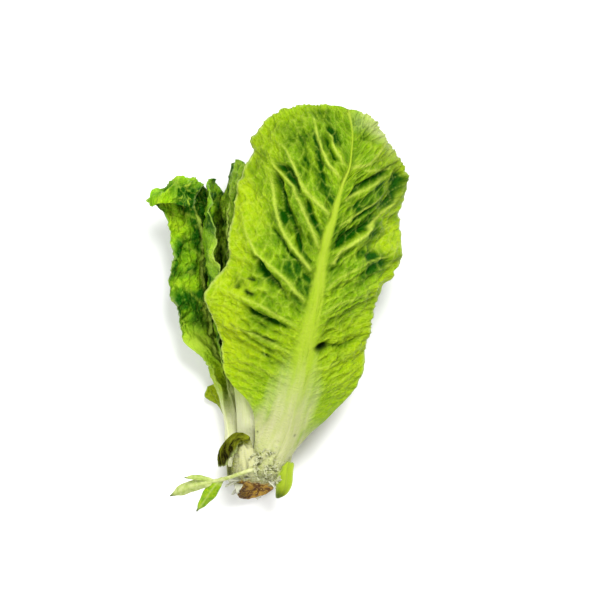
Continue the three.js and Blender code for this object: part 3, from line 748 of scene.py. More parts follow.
def front_veins(x, y):
    """Height of the ridges, closeness of the veins themselves, and the sag of the blade between them."""
    ridge = np.zeros_like(x)
    vein = np.zeros_like(x)
    nearest = np.full_like(x, 1e9)
    for height, line in FRONT_VEINS:
        distance, place, _ = line_distance(x, y, line)
        ridge = np.maximum(ridge, height * bump(distance / VEIN_BREADTH) * mix(1, 0.7, place))
        drawn = mix(0.95, 0.45, place) * math.sqrt(height / 2)
        fades_out = 1 - smoothstep(0.7, 1, place)
        vein = np.maximum(vein, min(height / 2.2, 1) * bump(distance / drawn) * fades_out)
        nearest = np.minimum(nearest, distance)
    return ridge, vein, SAG * (1 - bump(nearest / SAG_REACH))


def front_folds(x, y):
    """Depth of the folds, and the painted shade inside them."""
    fold = np.zeros_like(x)
    dark = np.zeros_like(x)
    for depth, width, steep_hand, line in FRONT_FOLDS:
        distance, place, hand = line_distance(x, y, line)
        steep = (hand * steep_hand > 0) & (steep_hand != 0)
        ends = smoothstep(-0.15, 0.2, place) * (1 - 0.5 * smoothstep(0.7, 1, place))
        reach = np.where(steep, STEEP, width) * mix(0.6, 1, ends)
        fold = np.maximum(fold, 0.85 * depth * bump(distance / reach) * ends)
        dark = np.maximum(dark, min(depth / 4.5, 1) * bump(distance / (0.8 * reach)) * ends)
    return fold, dark


def front_pattern(leaf):
    """Everything on the top leaf that both its relief and its colours follow."""
    x, y = leaf.x, leaf.y
    p = SimpleNamespace()
    wander = 1.3 * noise(x, y, 9, 4) + 0.6 * noise(x, y, 3.5, 14)
    p.ridge, p.vein, p.sag = front_veins(x + 0.6 * wander, y - 0.3 * wander)
    # p.dark is the painted shade inside the folds.
    p.fold, p.dark = front_folds(x + wander, y + 0.6 * wander)
    p.start, p.reach = vein_course(x + wander, y + wander)
    p.border, p.label = cells(0.5 * p.reach, 0.8 * p.start, 4.6, 31)
    small_border, small_label = cells(0.7 * p.reach + wander, p.start, 2.7, 37)
    p.pocket = smoothstep(0.0, 0.6, p.border) * (0.4 + 0.9 * p.label)
    p.small_pocket = smoothstep(0.0, 0.6, small_border) * (0.4 + 0.9 * small_label)
    p.wrinkle = crests(noise(0.3 * p.reach, p.start, 4.2, 61))
    p.wrinkle += 0.6 * crests(noise(0.3 * p.reach, p.start, 2.4, 67))
    p.blister = noise(x, y, 8, 71)
    slant = x * math.sin(GATHERS_SLANT) + y * math.cos(GATHERS_SLANT) + 1.8 * noise(x, y, 12, 8)
    p.gathers_zone = leaf.spot(*GATHERS_AT)
    p.gathers = np.cos(TURN * slant / GATHERS_PITCH) * p.gathers_zone
    p.blade = smoothstep(0.1, 0.3, leaf.u) * (1 - smoothstep(0.95, 1, leaf.u))
    p.beside_rib = 1 - bump(leaf.w / mix(0.3, 0.08, smoothstep(0, 0.6, leaf.u)))
    p.on_ridge = clamped(p.ridge / 2)
    p.calm = 1 - 0.6 * p.on_ridge
    p.streak = leaf.noise(3.5, 15, stretch=0.08)
    p.crust = smoothstep(-76, -92, y + 5 * noise(x, y, 4, 16)) * bump((x + 7) / 8)
    tear_x, tear_y, tear_wide, tear_long = TEAR
    along_tear = (x - tear_x + 0.4 * (y + 24)) / tear_wide
    across_tear = (y - tear_y - 0.25 * (x - 27)) / tear_long
    p.tear = bump(np.hypot(along_tear, across_tear) ** 2)
    lobe = smoothstep(0.25, 0.6, leaf.w)
    fades = mix(-26, np.where(leaf.v < 0, -54, -68), lobe)
    full = mix(-78, np.where(leaf.v < 0, -74, -90), lobe)
    p.root = smoothstep(fades, full, y + 7 * p.streak)
    return p


def front_lift(leaf, p):
    """Relief of the top leaf: its own veins, folds and gathers, pockets and a waved edge."""
    x, y, u, w = leaf.x, leaf.y, leaf.u, leaf.w
    waves = np.sin(TURN * 6.5 * u + np.where(leaf.v < 0, 1.0, 0.0)) * w**4
    waves = waves * mix(1, 0.2, smoothstep(0.68, 0.8, u))
    crimp = noise(leaf.upward, leaf.v * 3, 4.0, 12) * w**8
    before_edge = 1 - smoothstep(0.86, 1, w)
    bumps = BLISTER * p.blister + WRINKLE * p.wrinkle - POCKET * p.pocket - SMALL_POCKET * p.small_pocket
    lift = (p.ridge - p.sag - p.fold) * before_edge + bumps * p.calm + GATHER * p.gathers
    lift = p.blade * (lift * p.beside_rib + WAVE * waves + CRIMP * crimp)
    grains = 0.9 * noise(x, y, 1.5, 17) + 0.7 * noise(x, y, 0.8, 18)
    return lift - TEAR_DEPTH * p.tear + 0.35 * p.streak * p.root + p.crust * grains


def front_paint(leaf, p):
    """Where the top leaf is dark with specks and with painted shade in its folds, pockets, holes and tear,
    where it is lighter, with painted highlights on its ridges, and where it is pale, yellow or dirty.
    """
    x, y, u, w = leaf.x, leaf.y, leaf.u, leaf.w
    half_rib = np.interp(u, FRONT_RIB[:, 0], FRONT_RIB[:, 1])
    rib = 1 - smoothstep(0.45, 1.45, np.abs(leaf.across + 0.1 * half_rib) / half_rib)
    rib_streaks = smoothstep(0.1, 0.7, leaf.noise(1.6, 19, stretch=0.1))
    rib = rib * (1 - 0.3 * rib_streaks * smoothstep(0.7, 0.4, u))
    toward_margin = smoothstep(0.35, 0.95, w + 0.15 * noise(x, y, 12, 73))
    lower = smoothstep(20, -30, y)
    shade = 0.34 * p.pocket * p.calm + 0.22 * p.small_pocket + 0.3 * smoothstep(0.2, -0.8, p.blister)
    shade = shade + 0.5 * smoothstep(0.1, -0.7, noise(0.5 * p.reach, p.start, 7, 74)) * (1 - lower)
    shade = shade * (1 - 0.45 * lower) * smoothstep(1.1, 0.3, toward_margin * (1 - 0.5 * p.blister))
    shade = shade * (1 - 0.6 * leaf.spot(*CLEAR_AT))
    # Painted shade in the folds and in the troughs of the gathers.
    dark = clamped(p.dark + 0.4 * p.gathers_zone * smoothstep(0.1, -1, p.gathers))
    thin_edge = leaf.spot(*THIN_EDGE_AT) * smoothstep(20, 5, leaf.inset + 3 * p.blister)
    yellow = 0.4 * toward_margin * bump((x + 26) / 26) + 0.3 * toward_margin * bump((x - 72) / 16)
    # Dark specks, and painted shadow in the holes.
    shadow_and_specks = leaf.plain()
    for speck_x, speck_y, breadth in DARK_SPECKS:
        shadow_and_specks = np.maximum(shadow_and_specks, 0.8 * leaf.spot(speck_x, speck_y, breadth, breadth))
    for breadth, *line in HOLES:
        shadow_and_specks = np.maximum(shadow_and_specks, bump(line_distance(x, y, line)[0] / breadth))
    small_veins = 0.3 * bump(p.border / 0.07) * p.blade * (1 - 0.5 * lower)
    # Lighter towards the margin and the base, from pocket to pocket at random, and with painted highlights on
    # the ridges.
    lightness = 0.1 + 0.45 * toward_margin + 0.6 * lower + 0.4 * p.on_ridge + 0.3 * (p.label - 0.5)
    away_from_veins = (1 - rib) * (1 - 0.8 * clamped(p.vein)) * (1 - p.root)
    return {
        "vein": clamped(0.8 * p.vein + small_veins) * p.beside_rib,
        "shade_and_dark_tone": clamped(dark + shade * p.blade) * away_from_veins,
        "high": clamped(lightness),
        "rib": rib,
        "root": p.root,
        "margin": np.clip(0.55 * smoothstep(1.8, 0.4, leaf.inset) * p.blade + thin_edge, 0, 0.85),
        # Painted shadow in the tear, over the specks and holes.
        "shadow_and_specks": clamped(np.maximum(1.15 * p.tear - 0.1, shadow_and_specks)),
        "yellow": clamped(yellow + 0.25 * lower * (1 - rib)) * p.blade,
        "soil": clamped(0.6 * smoothstep(-74, -94, y) + p.crust),
        "smooth": leaf.plain(),
    }


def front_rib(leaf):
    """The rib of the top leaf: high and broad at the base, a fine line towards the tip."""
    half = np.interp(leaf.u, FRONT_RIB[:, 0], FRONT_RIB[:, 1])
    height = mix(3.2, 0.5, smoothstep(0, 0.75, leaf.u))
    return height * bump(leaf.across / half) + 0.5 * bump((leaf.across - 0.5 * half) / (0.3 * half)) * leaf.u


def front_crown(u, v):
    return mix(1.5, 8, smoothstep(0, 0.5, u)) * mix(1, 0.12, smoothstep(0.78, 1, u))


def front_chevron(u):
    return mix(-6, 5, smoothstep(0.35, 0.85, u)) * smoothstep(0, 0.15, u) * (1 - smoothstep(0.85, 1, u))


def front_leaf(material):
    surface = rail_surface(FRONT_MIDDLE, FRONT_LEFT, FRONT_RIGHT, front_crown, front_chevron)
    leaf = Leaf(pushed(surface, FRONT_PUSHES), rows=290, columns=162, solid_rows=58, solid_columns=18)
    pattern = front_pattern(leaf)
    lift, paint = front_lift(leaf, pattern), front_paint(leaf, pattern)
    start, reach = vein_course(leaf.x, leaf.y)
    along_veins = (0.55 * reach, start)
    thickness = leaf_thickness(leaf.u)
    shell = leaf_shell(leaf, lift, front_rib(leaf), thickness, paint, foot=2.2, place=along_veins)
    install("front_leaf_blade", "front_leaf", "top_leaf", [shell], material)


# The dark leaf that is opened away from the head at the left, its tip turned over
LEFT_MIDDLE = [
    [-27.5, -97, 22.5], [-31, -80, 20.5], [-34, -62, 19], [-36.5, -46, 18.5],
    [-40.5, -26, 19.5], [-43.5, -4, 21.5], [-45.5, 18, 23.5], [-46, 41, 25.5],
    [-49, 57, 29], [-53, 70, 35], [-57.5, 77, 43.5], [-61, 71, 50], [-62, 63.5, 51.5],
]
LEFT_LEFT = [
    [-27, -97, 28.5], [-31.5, -80, 28], [-35.5, -62, 27.5], [-35.5, -46, 27],
    [-44.5, -33, 28], [-57.5, -18, 31], [-63, 0, 33.5], [-65, 20, 35],
    [-63.5, 38, 36.5], [-66, 53, 38.5], [-73.5, 62, 42], [-78, 63.5, 46.5], [-74, 60.5, 49],
]
LEFT_RIGHT = [
    [-27, -97, 16.5], [-30, -80, 14], [-31.5, -62, 12], [-31.5, -46, 11],
    [-32.5, -26, 10.5], [-34, -4, 11.5], [-35, 18, 12.5], [-36, 42, 14],
    [-39, 58, 19], [-42, 70, 28], [-44.5, 75.5, 38], [-48, 70, 46.5], [-51.5, 61, 49.5],
]

# Where its margin stands further out or in than that of the solid: x, y, reach and shift in x and y
LEFT_PUSHES = [
    [-72, 66, 8, -3.0, 3.0], [-62, 50, 9, -1.6, 0.0], [-60, 78, 8, -1.5, 2.6], [-64, 20, 9, -0.8, 0.0],
    [-33, -66, 16, 3.0, 0.0],
]

# Its dark patches of painted shade and its light ones: x, y, half breadth in x and in y, strength (below 0 for
# light ones)
LEFT_PATCHES = [
    [-53, 65, 8, 7, 1.8], [-70, 66, 6, 4, -0.8], [-60, 74, 9, 3, 0.7],
    [-62, 50, 7, 8, -1.0], [-47, 46, 6, 14, 1.0], [-60, 34, 6, 5, 0.9], [-53, 31, 5, 3.5, -0.7],
    [-59, 22, 6, 3.5, 0.9], [-57, 15, 7, 4, -0.9], [-55, 3, 9, 5, 0.7], [-49, -7, 3, 12, 1.0],
    [-42, 20, 3.5, 22, 1.0], [-51, -22, 9, 8, -1.4],
]

# Its smooth lobe and its light part: middle, half breadth and half length
SMOOTH_LOBE_AT = (-51, -22, 9, 9)
LIGHT_PART_AT = (-60, 50, 11, 15.7)


def common_relief(leaf, folds, depth, waves, ruffle, phase, rise=0.16):
    """Folds that follow the side veins and waves that grow towards the edge, as the solids have them."""
    blade = smoothstep(0.16, 0.42, leaf.u)
    fold = np.cos(TURN * folds * (leaf.u - rise * leaf.w) + phase)
    fold = fold * np.sin(math.pi * np.minimum(leaf.w / 0.95, 1))
    wave = np.sin(TURN * waves * leaf.u + phase + np.where(leaf.v < 0, 2.1, 0.0)) * leaf.w**3
    return blade, blade * (depth * fold + ruffle * wave)


def left_crown(u, v):
    return np.where(v < 0, -2.0, -1.0) * smoothstep(0, 0.25, u)


def left_paint(leaf, paint, lobe, rough, crumple):
    """The left leaf's painted shade in its pits, trough and dark patches, painted highlights on its blisters
    and painted glints on its crests, its smooth lobe and its stalk.
    """
    below_tip = smoothstep(0.8, 0.7, leaf.u)
    light_part = leaf.spot(*LIGHT_PART_AT) * below_tip
    trough_shade = bump((leaf.x + 40) / 5) * smoothstep(-20, 10, leaf.y) * below_tip
    blister_highlight = smoothstep(0.35, 0.9, 0.5 + 0.5 * rough + 0.25 * leaf.noise(3, 58))
    patch = sum(strength * leaf.spot(*place) for *place, strength in LEFT_PATCHES)
    patch = patch * (0.6 + 0.4 * crumple)
    pit_shade = 0.75 * smoothstep(0.4, -0.7, rough + 0.5 * leaf.noise(3.4, 59))
    stalk = smoothstep(-24, -44, leaf.y)
    glints = smoothstep(1.05, 1.4, crumple + 0.3 * leaf.noise(2.2, 60))
    network, light = cells(leaf.across + 0.5 * rough, leaf.upward + 0.8 * rough, 3.2, 62)
    glints = glints + 0.55 * bump(network / 0.09) * smoothstep(0.35, 0.9, light)
    # Lighter with painted highlights on the blisters, in its light part and on the lobe, less so in the dark
    # patches.
    high = clamped(blister_highlight + light_part + 1.3 * lobe)
    paint["high"] = np.maximum(clamped(high - patch), stalk)
    paint["yellow"] = np.maximum(clamped(-0.4 * patch), 0.6 * stalk)
    # Painted shade in the pits, the trough and the dark patches.
    paint["shade_and_dark_tone"] = clamped(paint["shade_and_dark_tone"] + pit_shade + trough_shade + patch) * (1 - lobe) * (1 - stalk)
    # Paler veins and painted glints on the crests, fewer in the pits, and a paler lobe.
    paint["vein"] = clamped((0.7 * paint["vein"] + 0.7 * glints) * (1 - 0.4 * pit_shade) + 0.8 * lobe)
    paint["root"] = smoothstep(-42, -74, uneven_y(leaf, 3, 61))
    paint["smooth"] = lobe


def left_leaf(material):
    surface = pushed(rail_surface(LEFT_MIDDLE, LEFT_LEFT, LEFT_RIGHT, left_crown), LEFT_PUSHES, 1.0)
    leaf = Leaf(surface, rows=252, columns=90, solid_rows=36, solid_columns=10, outward=-1)
    blade, relief = common_relief(leaf, folds=9, depth=1.5, waves=7, ruffle=1.6, phase=0.7)
    relief = relief * mix(1, 0.3, smoothstep(0.68, 0.8, leaf.u))
    lobe = leaf.spot(*SMOOTH_LOBE_AT)
    veins = side_veins(leaf, 9, 0.16, 0.7, 0.8)
    fine, paint = leaf_looks(leaf, 51, veins, blade * (1 - 0.8 * lobe), 1.7, 7.5, 2.6)
    rough = leaf.noise(9, 55)
    crumple = leaf.crests(6, 56) + 0.6 * leaf.crests(3, 57)
    fine = fine + 1.8 * blade * (1 - lobe) * (rough + crumple)
    left_paint(leaf, paint, lobe, rough, crumple)
    rib, thickness = leaf_rib(leaf, 2.6, 0.5), leaf_thickness(leaf.u)
    shell = leaf_shell(leaf, relief + fine, rib, thickness, paint, flesh=6.0)
    install("left_leaf_blade", "left_leaf", "dark_leaf", [shell], material)


# Leaves in layers round the stem, from the outside in, as the solids have them
LAYERED = [
    {"name": "edge_leaf", "slot": "middle_leaf", "layer": 0.98, "turn": -42, "tip_turn": -63, "width": 34,
     "limit": 38, "y_from": -100, "y_to": 91, "petiole": 0.62, "lean": (-5, 0),
     "grid": (24, 8), "folds": 8, "depth": 0.8, "waves": 6, "ruffle": 1.2, "rib": 1.8,
     "blisters": 1.0, "pale": 0.0, "flesh": 2.0, "pushes": [[-30, 86, 11, 4.0, 0.0]]},
    {"name": "left_back_leaf", "slot": "dark_leaf", "layer": 1.06, "turn": -131, "tip_turn": -100,
     "width": 36, "limit": 42, "y_from": -103, "y_to": 80, "petiole": 0.48, "lean": (-11, 6),
     "grid": (20, 8), "folds": 7, "depth": 0.8, "waves": 6, "ruffle": 0.9, "rib": 1.4,
     "blisters": 1.2, "pale": 1.0, "flesh": 4.0},
    {"name": "right_leaf", "slot": "outer_leaf", "layer": 1.0, "turn": 78, "tip_turn": 80, "width": 30,
     "limit": 38, "y_from": -101, "y_to": 92, "petiole": 0.52,
     "grid": (22, 8), "folds": 8, "depth": 1.2, "waves": 6, "ruffle": 1.8, "rib": 2.0},
    {"name": "under_leaf", "slot": "outer_leaf", "layer": 1.07, "turn": 145, "tip_turn": 168, "width": 42,
     "limit": 48, "y_from": -102, "y_to": 86, "petiole": 0.76,
     "grid": (24, 10), "folds": 8, "depth": 0.9, "waves": 6, "ruffle": 1.4, "rib": 2.0},
]
LAYERS = [
    {"name": "middle_leaf", "slot": "middle_leaf", "count": 3, "first": -8, "layer": 0.86, "width": 38,
     "y_from": -98, "y_to": 94, "grid": (16, 6), "folds": 5, "depth": 0.8, "waves": 4,
     "ruffle": 1.1, "rib": 1.1},
    {"name": "second_middle_leaf", "slot": "middle_leaf", "count": 3, "first": 52, "layer": 0.7, "width": 31,
     "y_from": -91, "y_to": 86, "grid": (14, 6), "folds": 4.5, "depth": 0.8, "waves": 4,
     "ruffle": 1.0, "rib": 1.0},
    {"name": "inner_leaf", "slot": "inner_leaf", "count": 3, "first": -8, "layer": 0.54, "width": 24,
     "y_from": -84, "y_to": 74, "grid": (12, 6), "folds": 4, "depth": 0.7, "waves": 3,
     "ruffle": 0.9, "rib": 0.9},
    {"name": "heart_leaf", "slot": "inner_leaf", "count": 2, "first": 60, "layer": 0.38, "width": 24,
     "y_from": -77, "y_to": 58, "grid": (12, 6), "folds": 3.5, "depth": 0.5, "waves": 3,
     "ruffle": 0.7, "rib": 0.7},
    {"name": "centre_leaf", "slot": "heart_leaf", "count": 2, "first": 150, "layer": 0.22, "width": 13,
     "y_from": -70, "y_to": 38, "grid": (10, 4), "folds": 3, "depth": 0.4, "waves": 2,
     "ruffle": 0.5, "rib": 0.5},
]

# Degrees left free between two leaves of a layer
BETWEEN = 4

# What layer_surface takes
SURFACE_KEYS = ("layer", "turn", "tip_turn", "width", "limit", "y_from", "y_to", "petiole", "lean")

# A pale strip of the left back leaf: middle, half breadth and half length
PALE_STRIP_AT = (-35, 34, 4.5, 13)


def layer_leaves(spec):
    """The leaves of one layer, spaced evenly round the head."""
    for k in range(spec["count"]):
        turn = spec["first"] + 360 * k / spec["count"]
        limit = 180 / spec["count"] - BETWEEN
        yield {**spec, "name": f"{spec['name']}_{k + 1}", "turn": turn, "tip_turn": turn, "limit": limit}


def blistered(leaf, fine, paint, spec, seed):
    """Blisters and a waved edge for the layered leaves beside the top leaf. Returns their fine relief."""
    upper = smoothstep(0.3, 0.5, leaf.u)
    blister, crumple = leaf.noise(6.5, seed + 20), leaf.crests(4.5, seed + 21)
    edge_wave = np.sin(TURN * 13 * leaf.u + np.where(leaf.v < 0, 0.0, 1.3)) * leaf.w**4
    pale = leaf.spot(*PALE_STRIP_AT) * spec["pale"]
    paint["root"] = smoothstep(-36, -70, uneven_y(leaf, 3, seed))
    paint["yellow"] = 0.6 * smoothstep(-20, -44, leaf.y)
    # The upper blade darker, and painted shade in the hollows between blisters; painted highlights on the
    # blister tops, and painted glints on the crests of the crumples.
    paint.more("shade_and_dark_tone", upper * (0.2 + 0.8 * smoothstep(0.25, -0.5, blister)))
    paint.less("shade_and_dark_tone", pale)
    paint.more("high", 0.8 * smoothstep(0.1, 0.6, blister))
    paint["vein"] = clamped(0.5 * paint["vein"] + 0.4 * smoothstep(0.75, 0.98, crumple) * upper)
    paint.more("vein", 0.8 * pale)
    return fine + spec["blisters"] * upper * (1.2 * blister + 0.9 * crumple + 0.9 * edge_wave)


def layered_leaf(spec, seed, material, step=6):
    surface = layer_surface(**{key: spec[key] for key in SURFACE_KEYS if key in spec})
    surface = pushed(surface, spec.get("pushes", []))
    solid_rows, solid_columns = spec["grid"]
    leaf = Leaf(surface, solid_rows * step, solid_columns * step, solid_rows, solid_columns)
    phase = math.radians(spec["turn"])
    blade, relief = common_relief(leaf, spec["folds"], spec["depth"], spec["waves"], spec["ruffle"], phase)
    veins = side_veins(leaf, spec["folds"], 0.16, phase, 0.8) * blade
    fine, paint = leaf_looks(leaf, seed, veins, blade, 0.7, 6.0, 2.4)
    paint["root"] = smoothstep(-22, -52, uneven_y(leaf, 4, seed))
    if "blisters" in spec:
        fine = blistered(leaf, fine, paint, spec, seed)
    rib, thickness = leaf_rib(leaf, spec["rib"], 0.5), leaf_thickness(leaf.u)
    shell = leaf_shell(leaf, relief + fine, rib, thickness, paint, flesh=spec.get("flesh", 0.0))
    install(f"{spec['name']}_blade", spec["name"], spec["slot"], [shell], material)


# Small leaves at the base. Where the wilted one starts to curl, and how thick its end is
CURL = (0.36, 0.5)
CURLED_END = 2.6


def small_left_looks(leaf, fine, paint, seed):
    """Yellow-green all over."""
    paint["yellow"], paint["high"] = leaf.plain(0.7), leaf.plain(1.0)
    return fine


def wilted_looks(leaf, fine, paint, seed):
    """Brown mottles and lumps where the wilted leaf curls, and streaks on its pale base."""
    curl = smoothstep(*CURL, leaf.u)
    mottles = leaf.noise(3.0, seed + 7) + 0.6 * leaf.noise(1.4, seed + 9)
    rim = 0.8 * curl * smoothstep(2.4, 0.5, leaf.inset) * (leaf.v < 0)
    streak = leaf.noise(2.0, seed + 11, stretch=0.15)
    low_left = smoothstep(-0.2, -0.9, leaf.v) * smoothstep(0.4, 0.2, leaf.u)
    lumps = 1.1 * leaf.noise(2.4, seed + 8) + 0.5 * leaf.noise(1.1, seed)
    paint["shade_and_dark_tone"] = clamped(0.15 + 1.2 * mottles + 0.7 * smoothstep(0.62, 0.85, leaf.u))
    paint["margin"] = clamped(rim + 0.7 * smoothstep(0.96, 1, leaf.u))
    paint.less("rib", curl)
    paint.less("root", clamped(0.55 * smoothstep(0, 0.8, streak) + 0.8 * low_left))
    return (fine + lumps + 0.9) * curl + 0.5 * streak * (1 - curl)


def low_right_looks(leaf, fine, paint, seed):
    """Smooth and yellow-green, darker where it meets the cut end."""
    foot = leaf.spot(1.5, -115, 5, 5)
    # Darker at its foot, and painted shade towards its left side.
    paint["shade_and_dark_tone"] = clamped(0.5 * foot + 0.35 * smoothstep(3.5, -1, leaf.x))
    paint["shadow_and_specks"] = 0.4 * foot
    paint["vein"] = 0.3 * (1 - foot)
    paint["rib"] = 0.85 * (1 - foot)
    paint["high"] = paint["yellow"] = paint["smooth"] = leaf.plain(1.0)
    return 0.2 * fine


# Each is given by its middle and its two edges. root is where its pale base ends and where it is full.
SMALL_LEAVES = [
    {
        "name": "small_left_leaf", "slot": "outer_leaf", "grid": (14, 4), "waves": 2.5, "ruffle": 0.7,
        "rib": 0.8, "root": (0.66, 0.5), "looks": small_left_looks,
        "pushes": [[-43, -45, 8, 1.5, -3.0], [-34, -68, 12, 3.0, 0.0]],
        "middle": [[-24.2, -108.5, 12.8], [-28.4, -103.8, 9.2], [-32, -86, 7.5], [-35, -69, 7.5],
                   [-38.5, -57, 8.5], [-42, -49.5, 9.8], [-43, -44.5, 10.8]],
        "left": [[-22, -108.5, 10.2], [-25.8, -104, 6.2], [-30.5, -88, 5], [-33.5, -72, 4.5],
                 [-37.5, -62, 5], [-45.3, -54, 6.8], [-44.8, -45.5, 10]],
        "right": [[-26.2, -108.5, 16], [-30.4, -103.8, 13.2], [-32.5, -84, 10], [-34, -66, 10],
                  [-35.5, -54, 11], [-37.5, -47, 12], [-41, -44, 11.8]],
    },
    {
        "name": "wilted_leaf", "slot": "wilted_leaf", "grid": (20, 6), "waves": 3, "ruffle": 1.0,
        "rib": 0.9, "root": (0.44, 0.34), "looks": wilted_looks, "end": CURLED_END,
        "middle": [[-18, -102.1, 35], [-18.8, -100.4, 41], [-19.8, -91, 44], [-20.3, -83.5, 46.5],
                   [-21.5, -79, 49.5], [-26, -79.5, 51.3], [-31, -85, 49.3], [-33.5, -91, 45.8],
                   [-34.5, -96.5, 41.3]],
        "left": [[-25.5, -102, 30.5], [-27.8, -100.4, 36], [-27.2, -91, 39.5], [-25.3, -85, 43],
                 [-22.6, -82, 47], [-23.6, -84, 48.5], [-26, -87, 47], [-28.4, -91, 44.5],
                 [-31, -95.3, 41.5]],
        "right": [[-10.5, -102.1, 36.3], [-11.6, -100.4, 43], [-13.2, -90.5, 45.5], [-15.5, -83, 47],
                  [-18.5, -77, 50], [-26, -76, 52.5], [-33.5, -83.5, 50], [-36.5, -90.5, 46],
                  [-36, -96.5, 41.5]],
    },
    {
        "name": "low_right_leaf", "slot": "top_leaf", "grid": (20, 4), "waves": 2, "ruffle": 0.5,
        "rib": 0.8, "root": (0.3, 0.1), "looks": low_right_looks,
        "pushes": [[7, -100, 5, -0.5, 4.5]],
        "middle": [[1, -103.9, 28.8], [3, -102, 30.6], [5.6, -98.9, 32.2], [6.6, -99.6, 34.6],
                   [5.4, -103, 35.8], [4.2, -108.5, 34.4], [2.4, -113.2, 31.4], [0, -116.3, 28.4]],
        "left": [[-2.8, -103.9, 32.2], [-0.6, -101.2, 33.6], [2.6, -99.6, 35.9], [2.7, -100.4, 37.8],
                 [0.6, -103.2, 38], [-0.7, -108.5, 36.5], [-1.2, -113.2, 32.5], [-0.9, -116.1, 28.9]],
        "right": [[2.4, -103.9, 24], [6, -102.3, 27], [9.1, -98.6, 28.6], [10.3, -99.2, 31.2],
                  [10, -103, 33.2], [9.1, -108.5, 32.3], [6, -113.2, 30.3], [0.9, -116.3, 27.9]],
    },
]


def small_crown(u, v):
    return 0.8 * (1 - smoothstep(0.6, 1, u))


def small_leaf(spec, seed, material, step=6):
    solid_rows, solid_columns = spec["grid"]
    surface = rail_surface(spec["middle"], spec["left"], spec["right"], small_crown)
    surface = pushed(surface, spec.get("pushes", []), 1.0)
    leaf = Leaf(surface, solid_rows * step, solid_columns * step * 2, solid_rows, solid_columns)
    relief = spec["ruffle"] * np.sin(TURN * spec["waves"] * leaf.u) * leaf.v**4
    veins = side_veins(leaf, 7, 0.2, seed, 0.4) * smoothstep(0.3, 0.5, leaf.u) * 0.6
    fine, paint = leaf_looks(leaf, seed, veins, smoothstep(0.2, 0.5, leaf.u), 0.3, 3.5, 0.8)
    paint["root"] = smoothstep(*spec["root"], leaf.u + 0.04 * leaf.noise(2, seed))
    paint["soil"] = smoothstep(0.35, 0.1, leaf.u)
    fine = spec["looks"](leaf, fine, paint, seed)
    thickness = mix(BLADE, spec.get("end", BLADE), smoothstep(*CURL, leaf.u))
    shell = leaf_shell(leaf, relief + fine, leaf_rib(leaf, spec["rib"], 0.5), thickness, paint)
    install(f"{spec['name']}_blade", spec["name"], spec["slot"], [shell], material)


# The stem, with the crown that the leaves grow from, and its rough cut end
STEM_RINGS = 84
STEM_SIDES = 112
CAP_RINGS = 16
COLLAR_SWELL = 3.8
COLLAR_TOP_SWELL = 5.6
COLLAR_TOP_TURN = 0.28
COLLAR_STARTS = (-107.5, -100.0)
COLLAR_ENDS = (-96.5, -92.5)
CUT_EDGE_LEFT = (-26.8, -104.4)
CUT_EDGE_SLOPE = -0.18
CUT_SKEW = 0.22


def stem_place(y, angle):
    """A point on the stem and its crown."""
    x, z = np.moveaxis(along(BODY, y)[..., :2], -1, 0)
    radius = along(STEM, y)[..., 0] * (1 + 0.03 * np.cos(5 * angle) + 0.02 * np.cos(3 * angle + 1))
    collar = smoothstep(*COLLAR_STARTS, y) * (1 - smoothstep(*COLLAR_ENDS, y))
    ridged = 1 + 0.12 * np.cos(9 * angle + 0.5) + 0.08 * np.cos(17 * angle)
    from_top = np.angle(np.exp(1j * (angle - COLLAR_TOP_TURN)))
    swell = COLLAR_SWELL + COLLAR_TOP_SWELL * bump(from_top / 0.75)
    ragged = 0.5 * smoothstep(-109, -104, y)
    rough = (0.4 + ragged) * noise(12 * angle, y, 2.2, 81) + (0.2 + ragged) * noise(12 * angle, y, 0.9, 82)
    radius = radius + swell * collar * ridged + rough
    return x + radius * np.sin(angle), z + radius * np.cos(angle)


def stem_values(rings):
    """Where the stem is freshly cut, scarred and stained."""
    x, y, z = np.moveaxis(rings, -1, 0)
    below = CUT_EDGE_LEFT[1] + CUT_EDGE_SLOPE * (x - CUT_EDGE_LEFT[0]) - y
    cut = smoothstep(-0.6, 0.8, below + 1.4 * noise(x, y + z, 1.6, 86))
    cut[CAP_RINGS + 4:] *= 0.4
    scar = smoothstep(-102, -108, y) * (1 - cut)
    stain = np.maximum(bump(np.hypot(x + 22, y + 115) / 5), bump(np.hypot(x + 25, y + 108) / 3))
    values = {"cut": cut, "scar": scar, "stain": 0.7 * stain, "husk": np.zeros_like(cut)}
    return {key: value.ravel() for key, value in values.items()}


def stem_shell():
    """The side of the stem and its two ends, as one closed shell of quads."""
    turns = np.linspace(0, TURN, STEM_SIDES, endpoint=False)
    t, angle = np.meshgrid(np.linspace(0, 1, STEM_RINGS + 1), turns, indexing="ij")
    centre_x, centre_z = along(BODY, CUT_Y)[..., :2]
    rim_x, rim_z = stem_place(np.full_like(t, CUT_Y), angle)
    cut_y = CUT_Y + CUT_SLANT * (rim_z - centre_z) + CUT_SKEW * (rim_x - centre_x)
    y = mix(cut_y, STEM[-1][0], t)
    x, z = stem_place(y, angle)
    side = np.stack([x, y, z], axis=-1)
    share = np.linspace(0, 1, CAP_RINGS + 1)[1:, None]
    cap = mix(side[:1], np.array([centre_x, CUT_Y + 0.8, centre_z]), share[..., None] * 0.98)
    cap_x, _, cap_z = np.moveaxis(cap, -1, 0)
    rough = 0.9 * noise(cap_x, cap_z, 2.3, 83) + 0.6 * noise(cap_x, cap_z, 0.9, 84)
    cap[..., 1] += rough * smoothstep(0, 0.25, share)
    tip = mix(side[-1:], side[-1].mean(axis=0) + [0, 1.5, 0], np.array([0.5, 0.98])[:, None, None])
    rings = np.concatenate([cap[::-1], side, tip])
    return tube_shell(rings, STEM_SIDES, stem_values(rings))


